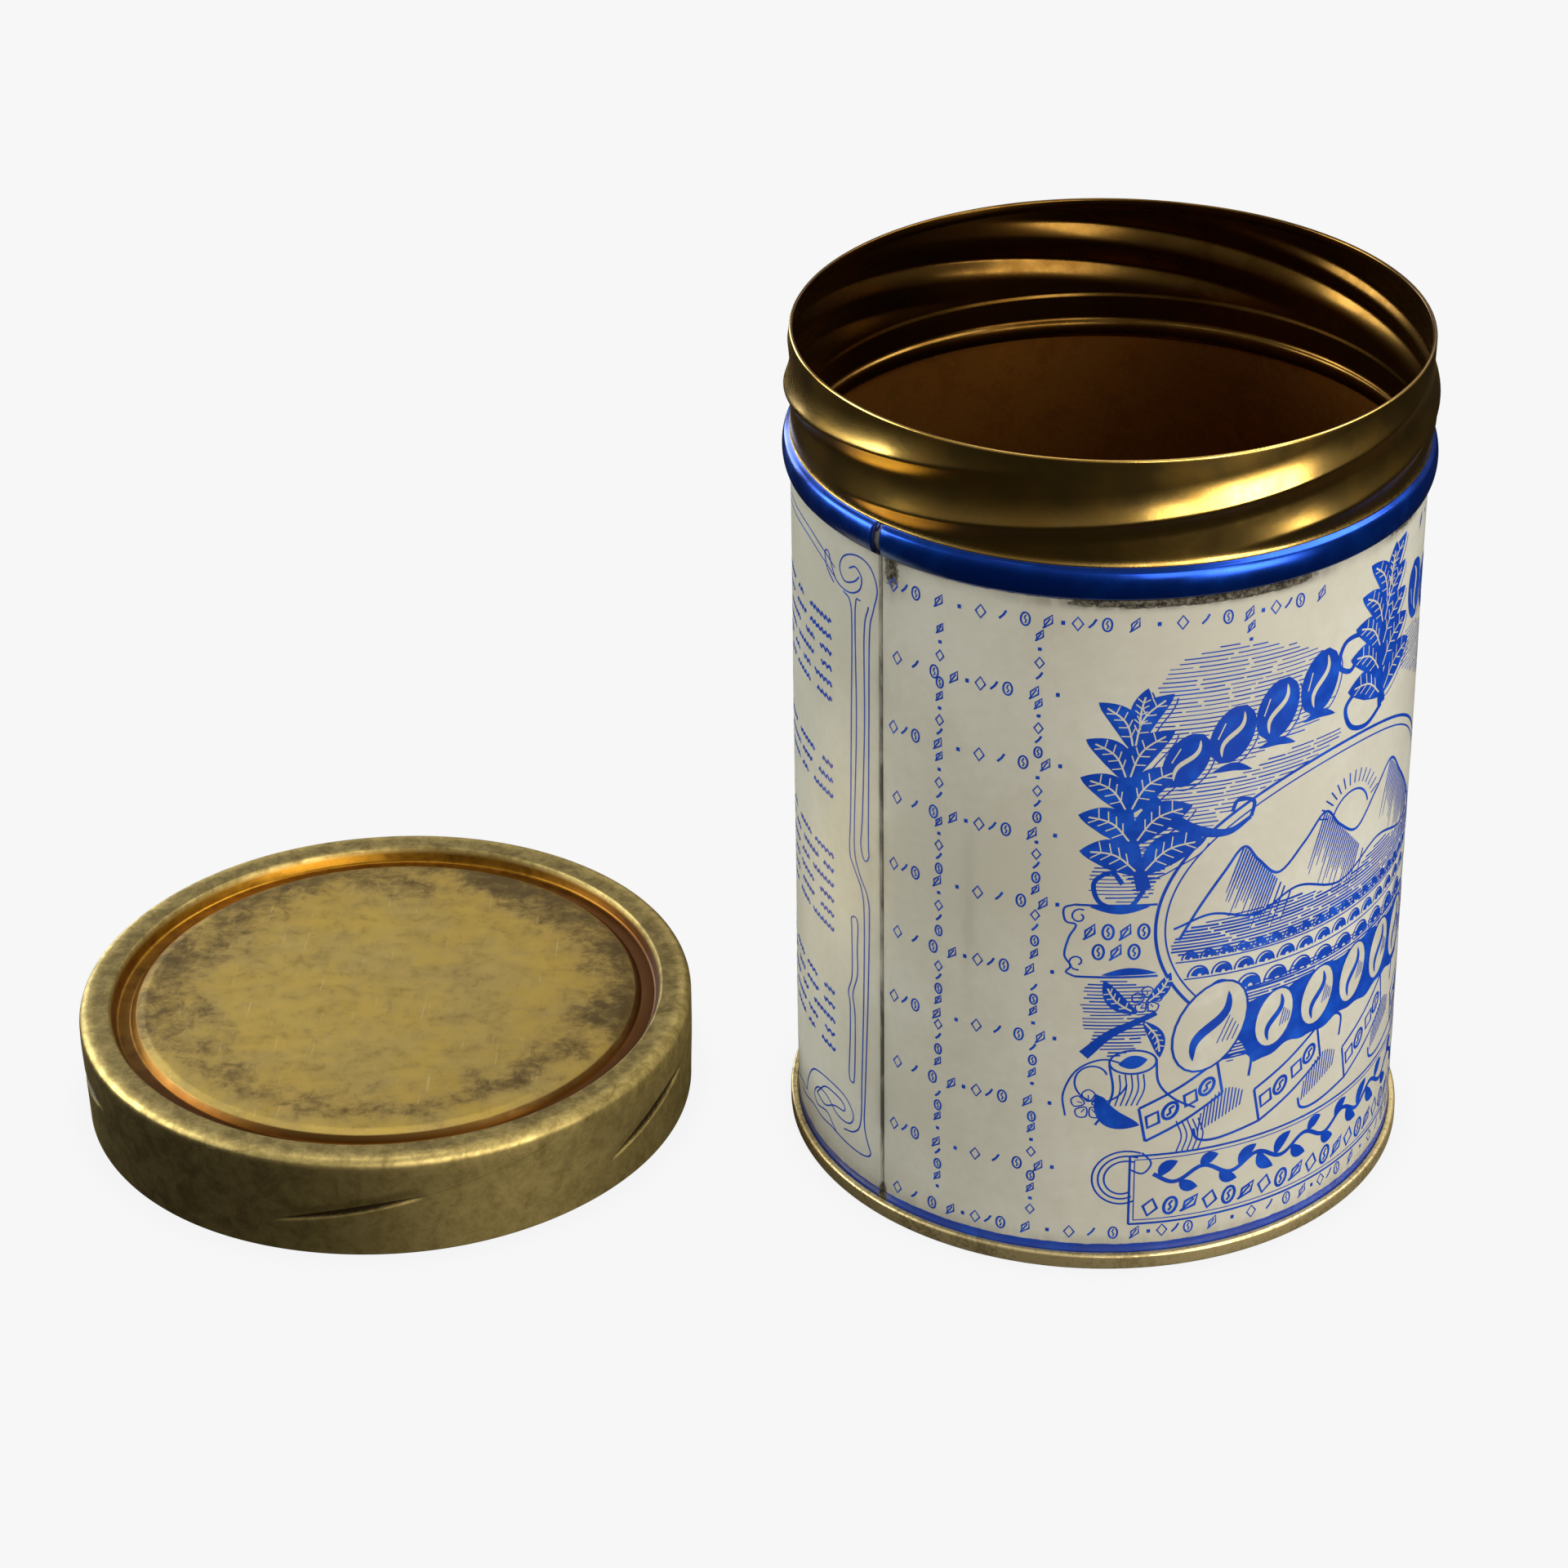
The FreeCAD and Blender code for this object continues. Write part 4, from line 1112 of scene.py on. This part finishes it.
def text_panel(sheet):
    """A bordered panel across the back, with two columns of greeked paragraphs."""
    for _ in sheet.both_sides(BACK_CENTRE):
        whiplash_border(sheet)
        for up in (0.0, 1.7):
            sheet.curve([(-12.0, 117.8 + up), (-16, 119.4 + up), (-24, 121.0 + up),
                         (-40, 120.6 + up), (-60, 121.4 + up), (BACK_CENTRE, 122.0 + up)],
                        0.26, 1.6)
            sheet.curve([(-35, 7.6 + up * 0.8), (-60, 6.9 + up * 0.8),
                         (BACK_CENTRE, 6.5 + up * 0.8)], 0.26, 1.6)
    draw = np.random.default_rng(4)
    for right in (-13.4, -89.4):
        for top, count in PARAGRAPHS:
            for number in range(count):
                short = 12 if number == count - 1 else 0
                greeked_line(sheet, right, top - number * LINE_PITCH, LINE_LENGTH - short, draw)
    steam_cup(sheet, BACK_CENTRE, 92.0)
    for z in (30.0, 60.0, 75.0):
        leaf(sheet, (BACK_CENTRE, z - 5), (BACK_CENTRE, z + 5), 3.0, 0.0)


def steam_cup(sheet, s, z):
    """A generic cup with a saucer and three curls of steam."""
    sheet.curve([(s - 5, z + 2.6), (s - 4.4, z - 1.4), (s - 2, z - 3.2), (s + 2, z - 3.2),
                 (s + 4.4, z - 1.4), (s + 5, z + 2.6)], 0.5)
    sheet.stroke(arc((s, z + 2.6), 5, 1.1, 0, 354), 0.4, closed=True)
    sheet.stroke(arc((s + 5.2, z + 0.2), 1.9, 1.7, -100, 110), 0.5)
    sheet.stroke(arc((s, z - 3.9), 7, 1.2, 170, 370), 0.45)
    for base in (s - 2.1, s, s + 2.1):
        sheet.curve([(base, z + 4.6), (base + 0.9, z + 6.4), (base - 0.6, z + 8.2),
                     (base + 0.5, z + 10)], 0.34)


# ------------------------------------------------------------------ bold botanical forms
def leaf(sheet, base, tip, width, bend, veins=False, shadow=False):
    """A filled leaf on a curved spine, with cream veins laid over it if asked for."""
    base, tip = np.array(base, float), np.array(tip, float)
    way = tip - base
    spine = smooth_line([base, (base + tip) / 2 + left_of(way) * bend, tip], 0.6)
    sheet.stroke(spine, swell(len(spine), width))
    forward = way / np.linalg.norm(way)
    if shadow:
        belly = swell(len(spine), width / 2)[:, None] * -left_of(forward)
        sheet.stroke(spine + (0.55, -0.75) + belly, 0.25)
    if not veins:
        return
    sheet.detail(spine[int(len(spine) * 0.12):int(len(spine) * 0.88)], 0.30)
    for part in (0.28, 0.42, 0.56, 0.70):
        at = spine[int(len(spine) * part)]
        for out in (-left_of(forward), left_of(forward)):
            end = at + (forward * 0.55 + out * 0.8) * width * 0.38
            sheet.detail([at, (at + end) / 2, end], 0.2)


def bean(sheet, centre, size, turn, solid=True):
    """A coffee bean: solid blue with a cream slit, or cream with a blue outline."""
    across, along = heading(turn), left_of(heading(turn))
    t = np.linspace(-1, 1, 17)
    spine = centre + along * (t * size)[:, None]
    girth = np.maximum(1.36 * size * np.sqrt(np.clip(1 - t ** 2, 0, 1)), 0.1)
    slit = centre + along * (t * size * 0.78)[:, None]
    slit = slit + across * (0.16 * size * np.sin(t * 3.0))[:, None]
    turns = even_angles(25)[:, None]
    rim = centre + along * np.cos(turns) * size - across * np.sin(turns) * size * 0.68
    if solid:
        sheet.stroke(spine, girth)
        sheet.detail(slit, swell(len(slit), 0.16 * size, 0.5, 0.1))
        sheet.detail(centre - across * 0.40 * size + along * (t[4:13] * size * 0.55)[:, None],
                     0.22)
        sheet.stroke(rim[13:24] + (0.75, -0.55), 0.26)
        return
    sheet.detail(spine, girth)
    sheet.stroke(rim, 0.42, closed=True, layer=2)
    sheet.stroke(slit, swell(len(slit), 0.20 * size, 0.5, 0.12), layer=2)
    for number in range(4):
        lean = centre + across * size * (0.28 + 0.09 * number)
        span = t[4:13] * size * (0.62 - 0.1 * number)
        sheet.stroke(lean + along * span[:, None], 0.2, layer=2)


def hatch(sheet, border, pitch, width, gap=0.10):
    """Broken level lines inside a closed (s, z) outline."""
    draw = sheet.draw
    s, height = smooth_line(border, 1.0, closed=True).T
    next_s, next_height = np.roll(s, -1), np.roll(height, -1)
    for z in np.arange(height.min() + pitch / 2, height.max(), pitch):
        cut = (height > z) != (next_height > z)
        share = (z - height[cut]) / (next_height[cut] - height[cut])
        places = np.sort(s[cut] + share * (next_s[cut] - s[cut]))
        for left, right in zip(places[::2], places[1::2]):
            left, right = left + draw.uniform(0, 1.6), right - draw.uniform(0, 1.6)
            while left < right - 0.5:
                end = min(right, left + draw.uniform(3.0, 14.0))
                path = straight((left, z), (end, z + draw.uniform(-0.08, 0.08)))
                sheet.stroke(path, width * draw.uniform(0.75, 1.2))
                left = end + gap + draw.uniform(0.2, 0.9)


def great_sprig(sheet, points):
    """A tall stem with paired leaves and one at its tip."""
    stem = smooth_line(points, 0.6)
    sheet.stroke(stem, np.linspace(2.4, 0.9, len(stem)))
    for number in range(5):
        at = stem[int(len(stem) * (0.10 + 0.19 * number))]
        reach, rise = 11.5 - 1.2 * number, 4.5 + 1.1 * number
        slim = 0.35 * number
        leaf(sheet, at, at + (-reach * 0.86, rise), 5.6 - slim, -0.16, True, True)
        leaf(sheet, at, at + (reach * 0.92, rise + 1.2), 5.8 - slim, 0.16, True, True)
    leaf(sheet, stem[-1] - (0, 1.0), stem[-1] + (1.2, 7.5), 3.4, 0.05, True, True)


def title_band(sheet):
    """The bold arch over the medallion: two great sprigs with beans between them."""
    great_sprig(sheet, [(46.5, 74.0), (44.2, 84), (43.4, 94), (45.0, 103.5)])
    sheet.curve([(46.5, 74), (44.0, 70.8), (39.6, 71.6), (38.4, 75.4), (41.2, 77.4),
                 (43.0, 75.2)], 0.8)
    sweep = smooth_line([(45.2, 92), (49.2, 88.0), (54.2, 84.6), (60.0, 83.2), (64.2, 85.2)], 0.6)
    sheet.stroke(sweep, np.linspace(3.6, 0.7, len(sweep)))
    sheet.curve([(64.2, 85.2), (64.6, 88.0), (61.8, 88.8), (60.8, 86.8)], 0.7)
    great_sprig(sheet, [(93.5, 95.5), (92.4, 103), (92.8, 111), (94.6, 116.5)])
    sheet.curve([(93.5, 95.5), (89.0, 93.6), (84.6, 95.0), (83.0, 99.0), (86.0, 101.0),
                 (88.4, 98.8)], 0.9)
    sheet.curve([(94.0, 104.5), (88.0, 110.5), (82.4, 111.4), (80.8, 107.6), (83.6, 105.6),
                 (85.6, 107.6)], 0.9)
    beans = [(52.8, 97.4, 5.2, -30), (60.4, 101.0, 5.4, -24), (68.4, 103.8, 5.6, -19),
             (76.8, 106.2, 5.8, -15), (106.6, 110.6, 5.8, 14), (115.0, 108.0, 5.6, 19),
             (123.0, 104.6, 5.4, 24), (130.4, 100.4, 5.2, 30)]
    for s, z, size, turn in beans:
        bean(sheet, (s, z), size, turn)
    for s, z, *_ in beans[1:4]:
        leaf(sheet, (s - 3.4, z - 6.4), (s + 3.6, z - 7.0), 1.5, 0.12)
    hatch(sheet, [(47.5, 112), (56, 117), (66, 116.5), (76, 112.5), (81, 106), (78, 99.5),
                  (66, 96.5), (56, 93), (49, 93.5)], 0.78, 0.22)
    hatch(sheet, [(99, 100), (104, 105), (118, 100), (131, 93), (134, 86), (124, 85),
                  (112, 92)], 0.78, 0.22)
    hatch(sheet, [(47, 92), (58, 93), (72, 96), (84, 95.4), (76, 92.4), (64, 88.6), (54, 82),
                  (47.5, 73.5), (43.6, 76)], 0.72, 0.24)


def medallion(sheet):
    """An oval window on a plantation: hills, a low sun and rows of bushes."""
    for inset, width in ((0.0, 0.55), (1.6, 0.3)):
        sheet.stroke(arc((FRONT_CENTRE, 66.4), 35.4 - inset, 26.4 - inset, -34, 214), width)
    sun = (86.0, 77.5)
    sheet.stroke(arc(sun, 5.0, 5.0, 12, 168), 0.4)
    for turn in range(18, 170, 11):
        sheet.stroke([heading(turn) * 6.2 + sun, heading(turn) * 8.6 + sun], 0.3)
    hills = [(52.5, 64.0), (56, 70.2), (60, 76.0), (63.2, 79.8), (66, 76.6), (70, 73.2),
             (75, 77.2), (79.5, 81.2), (83.2, 77.4), (88, 74.6), (93.5, 79.0), (99, 82.6),
             (104, 77.8), (109.5, 72.0), (115.4, 64.4)]
    sheet.curve(hills, 0.5)
    for peak, lean in ((3, 0.9), (7, 1.0), (11, 1.1)):
        for number in range(34):
            start = np.array(hills[peak]) + (number * 0.45 * lean, -number * 0.48)
            length = 3.0 + sheet.draw.uniform(2.0, 7.5)
            end = start + (-0.36 * length, -length)
            if end[1] > 62.2:
                sheet.stroke([start, (start + end) / 2, end], (0.36, 0.30, 0.14))
    sheet.curve([(51.6, 66.2), (58, 68.2), (66, 66.4), (74, 69.2), (84, 66.2), (95, 69.6),
                 (106, 66.6), (116.4, 67.4)], 0.45)
    hatch(sheet, [(52.4, 65.0), (60, 67.4), (74, 67.8), (84, 65.6), (96, 68.4), (108, 65.8),
                  (115.4, 65.8), (114.6, 60.6), (84, 59.6), (53.6, 60.6)], 0.62, 0.34, 0.05)
    for z, size, first, last in ((60.6, 1.7, 54.5, 113), (57.2, 2.2, 56.0, 112),
                                 (53.2, 2.8, 60.0, 110)):
        s = first
        while s < last:
            sheet.stroke(arc((s, z - 0.6), size * 0.8, size * 0.9, 0, 180, 0.5), 0.34)
            sheet.stroke(arc((s + size * 0.12, z - 0.5), size * 0.42, size * 0.45, 0, 180, 0.5),
                         size * 0.52)
            s += size * 1.85 + sheet.draw.uniform(-0.1, 0.1)
        sheet.curve([(first - 2.4, z - 0.9), (84, z - 1.3), (last + 2.0, z - 0.9)], 0.26, 1.2)


def bean_band(sheet):
    """Cream beans on a dark blue band across the foot of the medallion."""
    band = smooth_line([(63.5, 43.0), (74, 44.6), (88, 45.2), (102, 45.0), (112.5, 44.4)], 0.8)
    t = np.linspace(0, 1, len(band))
    girth = 11.6 + 0.8 * np.sin(t * 23.0) + 0.5 * np.sin(t * 51.0 + 1.0)
    sheet.stroke(band, girth * smooth(t / 0.05) * smooth((1 - t) / 0.05) + 0.3)
    hatch(sheet, [(60, 39.2), (60, 50.5), (72, 53.6), (90, 54.0), (112, 52.4), (117.4, 44),
                  (110, 40.2), (90, 40.4), (70, 39.8)], 0.62, 0.30, 0.05)
    bean(sheet, (58.6, 46.4), 8.9, -24, solid=False)
    for s, z in ((70.6, 45.0), (80.0, 45.8), (89.4, 46.0), (98.8, 45.8), (107.8, 45.2)):
        bean(sheet, (s, z), 5.6, -14, solid=False)


RIBBON_START = 47.4
RIBBON_STEP = 20.4
RIBBON_LEVEL = 28.4
RIBBON_LENGTHS = 4


def ribbon(sheet):
    """A folded banner under the beans, with a plain row of marks on each length of it."""
    for number in range(RIBBON_LENGTHS):
        start = np.array((RIBBON_START + RIBBON_STEP * number, RIBBON_LEVEL))
        middle = smooth_line([start, start + (6.5, 3.4), start + (13.2, 7.6)])
        top, low = middle + (-0.6, 3.3), middle + (0.6, -3.3)
        lines = [straight(top[0], low[0]), straight(top[-1], low[-1]), top, low]
        for step in range(4):
            at = middle[int((len(middle) - 1) * (0.14 + 0.24 * step))]
            mark(sheet, BEAN if step % 2 else DIAMOND, *at, 1.8, -0.5, 0.62)
        if number < RIBBON_LENGTHS - 1:
            lines.append(smooth_line([top[-1], start + (16.4, 11.6), start + (18.8, 10.2),
                                      start + (18.6, 6.4)], 0.6))
            lines.append(smooth_line([start + (8.8, -1.8), start + (9.6, -4.0),
                                      start + (13.0, -4.6), start + (RIBBON_STEP + 0.6, -3.3)],
                                     0.6))
            for step in range(13):
                base = start + (9.6 + 0.62 * step, -2.6 + 0.30 * step)
                reach = 2.6 + 3.2 * math.sin(math.pi * (step + 1.5) / 14)
                sheet.stroke(straight(base, base + (0.5, reach)), 0.26)
        for line in lines:
            sheet.stroke(line, 0.5)
    leaf(sheet, (47.0, 28.4), (39.6, 34.8), 3.6, 0.2)


PLATE = (45.6, 122.4, 8.4, 22.2)
VINE_LEVEL = 17.6


def name_plate(sheet):
    """The long plate near the foot: a vine over a row of small marks."""
    left, right, low, high = PLATE
    for inset, width in ((0.0, 0.42), (0.8, 0.2)):
        corners = [(left + inset, low + inset), (right - inset, low + inset),
                   (right - inset, high - inset), (left + inset, high - inset)]
        for start, end in zip(corners, corners[1:] + corners[:1]):
            sheet.stroke(straight(start, end), width)

    def vine(s):
        return VINE_LEVEL + 1.2 * np.sin((s - left) * 0.62)

    span = np.arange(left + 4.0, right - 3.5, 0.6)
    sheet.stroke(np.stack([span, vine(span)], -1), 0.8)
    for number, s in enumerate(np.arange(left + 5.0, right - 5.0, 3.6)):
        up = 1 if number % 2 == 0 else -1
        leaf(sheet, (s, vine(s)), (s + 3.2, VINE_LEVEL + up * 2.9), 2.3, 0.15 * up)
    for number, s in enumerate(np.arange(left + 3.6, right - 3.0, 3.5)):
        mark(sheet, (DIAMOND, BEAN, LEAF)[number % 3], s, 11.6, 1.75, -0.25, 0.56)


def cartouche(sheet):
    """The small scrolled frame left of the medallion, and its twin on the right."""
    for _ in sheet.both_sides(FRONT_CENTRE):
        sheet.stroke(straight((35.4, 71.2), (48.8, 71.2)), 0.42)
        sheet.stroke(straight((35.6, 57.6), (49.2, 57.6)), 0.42)
        sheet.curve([(35.4, 71.2), (33.7, 70.4), (34.0, 68.0), (35.7, 67.4), (34.6, 65.0),
                     (33.9, 61.6), (35.0, 59.6), (34.2, 58.4), (35.6, 57.6)], 0.36, 0.5)
        sheet.stroke(curl((36.2, 69.0), 1.5, 0.5, 60, 420), 0.30)
        sheet.stroke(curl((36.0, 60.4), 1.6, 0.5, -80, -430), 0.30)
        leaf(sheet, (37.8, 70.9), (47.6, 70.9), 1.5, -0.06)
        leaf(sheet, (40.0, 58.0), (49.0, 58.2), 1.4, 0.06)
    for row, z in enumerate((66.2, 62.4)):
        for step in range(4 - row):
            s = 38.0 + step * 2.9 + row * 1.4
            for place in (s, 2 * FRONT_CENTRE - s):
                mark(sheet, BEAN if (step + row) % 2 else LEAF, place, z, 1.45, 0, 0.42)


def flower(sheet, centre, size):
    for turn in range(18, 378, 72):
        way = heading(turn)
        side = left_of(way) * 0.42 * size
        petal = [way * 0.25 * size, way * 0.8 * size + side, way * 1.15 * size,
                 way * 0.8 * size - side]
        sheet.stroke(smooth_line(petal, 0.4, closed=True) + centre, 0.26, closed=True)
        sheet.stroke(np.array([way * 0.4, way * 0.75]) * size + centre, 0.2)


def side_scrolls(sheet):
    """Flowers, leaves, tendrils and a curled horn between the cartouche and the plate."""
    for _ in sheet.both_sides(FRONT_CENTRE):
        hatch(sheet, [(37.0, 55.6), (42, 57.0), (47.6, 56.0), (49.4, 51.0), (47.0, 44.6),
                      (42, 42.0), (37.6, 46.5)], 0.66, 0.28, 0.05)
        leaf(sheet, (46.0, 50.4), (40.4, 57.0), 3.0, 0.12, True)
        leaf(sheet, (47.4, 52.4), (51.4, 58.0), 2.4, -0.1, True)
        leaf(sheet, (47.0, 49.0), (50.0, 41.6), 2.6, 0.12, True)
        stem = smooth_line([(49.2, 50.4), (45.4, 48.6), (41.4, 46.4), (37.4, 42.4)], 0.6)
        sheet.stroke(stem, np.linspace(0.9, 2.0, len(stem)))
        flower(sheet, (47.6, 53.0), 2.3)
        flower(sheet, (38.4, 32.6), 2.6)
        sheet.stroke(curl((39.6, 37.6), 5.2, 2.0, 350, 30), 0.34)
        sheet.curve([(34.6, 30.2), (34.2, 34.6), (36.4, 39.4), (40.6, 41.6), (44.8, 40.4)], 0.34)
        sheet.stroke(arc((45.6, 41.0), 3.9, 2.3, 0, 354), 0.4, closed=True)
        fill = straight((43.2, 40.6), (48.0, 41.4), 0.4)
        sheet.stroke(fill, swell(len(fill), 2.6))
        sheet.curve([(49.5, 41.4), (50.0, 36.6), (52.6, 33.2), (56.4, 30.8)], 0.42)
        sheet.curve([(41.7, 40.6), (42.4, 35.4), (41.2, 31.4), (39.6, 28.6)], 0.42)
        sheet.curve([(47.6, 22.8), (49.2, 20.6), (47.8, 18.6), (45.4, 19.6)], 0.34)
        for inset in (0.0, 1.0, 2.0):
            sheet.stroke(curl((44.6, 17.4), 6.0 - inset, 4.6 - inset, 62, 292), 0.34)
        for number in range(5):
            sheet.curve([(43.4 + number, 38.6), (43.6 + number, 35.6),
                         (42.8 + number * 0.9, 32.4)], 0.26)
            right = number * 0.95
            sheet.curve([(53.4 + right, 22.4), (54.2 + right, 25.4), (53.2 + right, 28.6)], 0.26)
        hatch(sheet, [(38.4, 80.4), (42.6, 78.6), (50.0, 78.4), (47.8, 72.4), (41, 71.8),
                      (37.0, 74.4)], 0.70, 0.24, 0.08)


ARTISTS = {
    "print_lattice": lattice, "print_text_panel": text_panel, "print_title_band": title_band,
    "print_medallion": medallion, "print_bean_band": bean_band, "print_ribbon": ribbon,
    "print_plate": name_plate, "print_cartouches": cartouche,
    "print_side_scrolls": side_scrolls,
}


def make_print():
    ink = ink_finish("blue_ink", INK, INK_DEEP)
    pale, draw = Print(), np.random.default_rng(7)
    for name, artist in ARTISTS.items():
        sheet = Print(pale, draw)
        artist(sheet)
        sheet.build(name, ink)
    pale.build("print_cream_details", ink_finish("cream_ink", CREAM, CREAM_AGED))


# ------------------------------------------------------------------ scene
make_camera()
make_floor()
make_world()
make_lights()
make_wall()
make_print()
make_collar()
make_bottom()
make_lid()
make_gasket()
dress_frame_nodes()
bpy.context.scene.view_settings.view_transform = "Standard"

bpy.context.view_layer.update()
visual_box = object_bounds()
[[list(corner) for corner in box] for box in (cad_box, visual_box)]
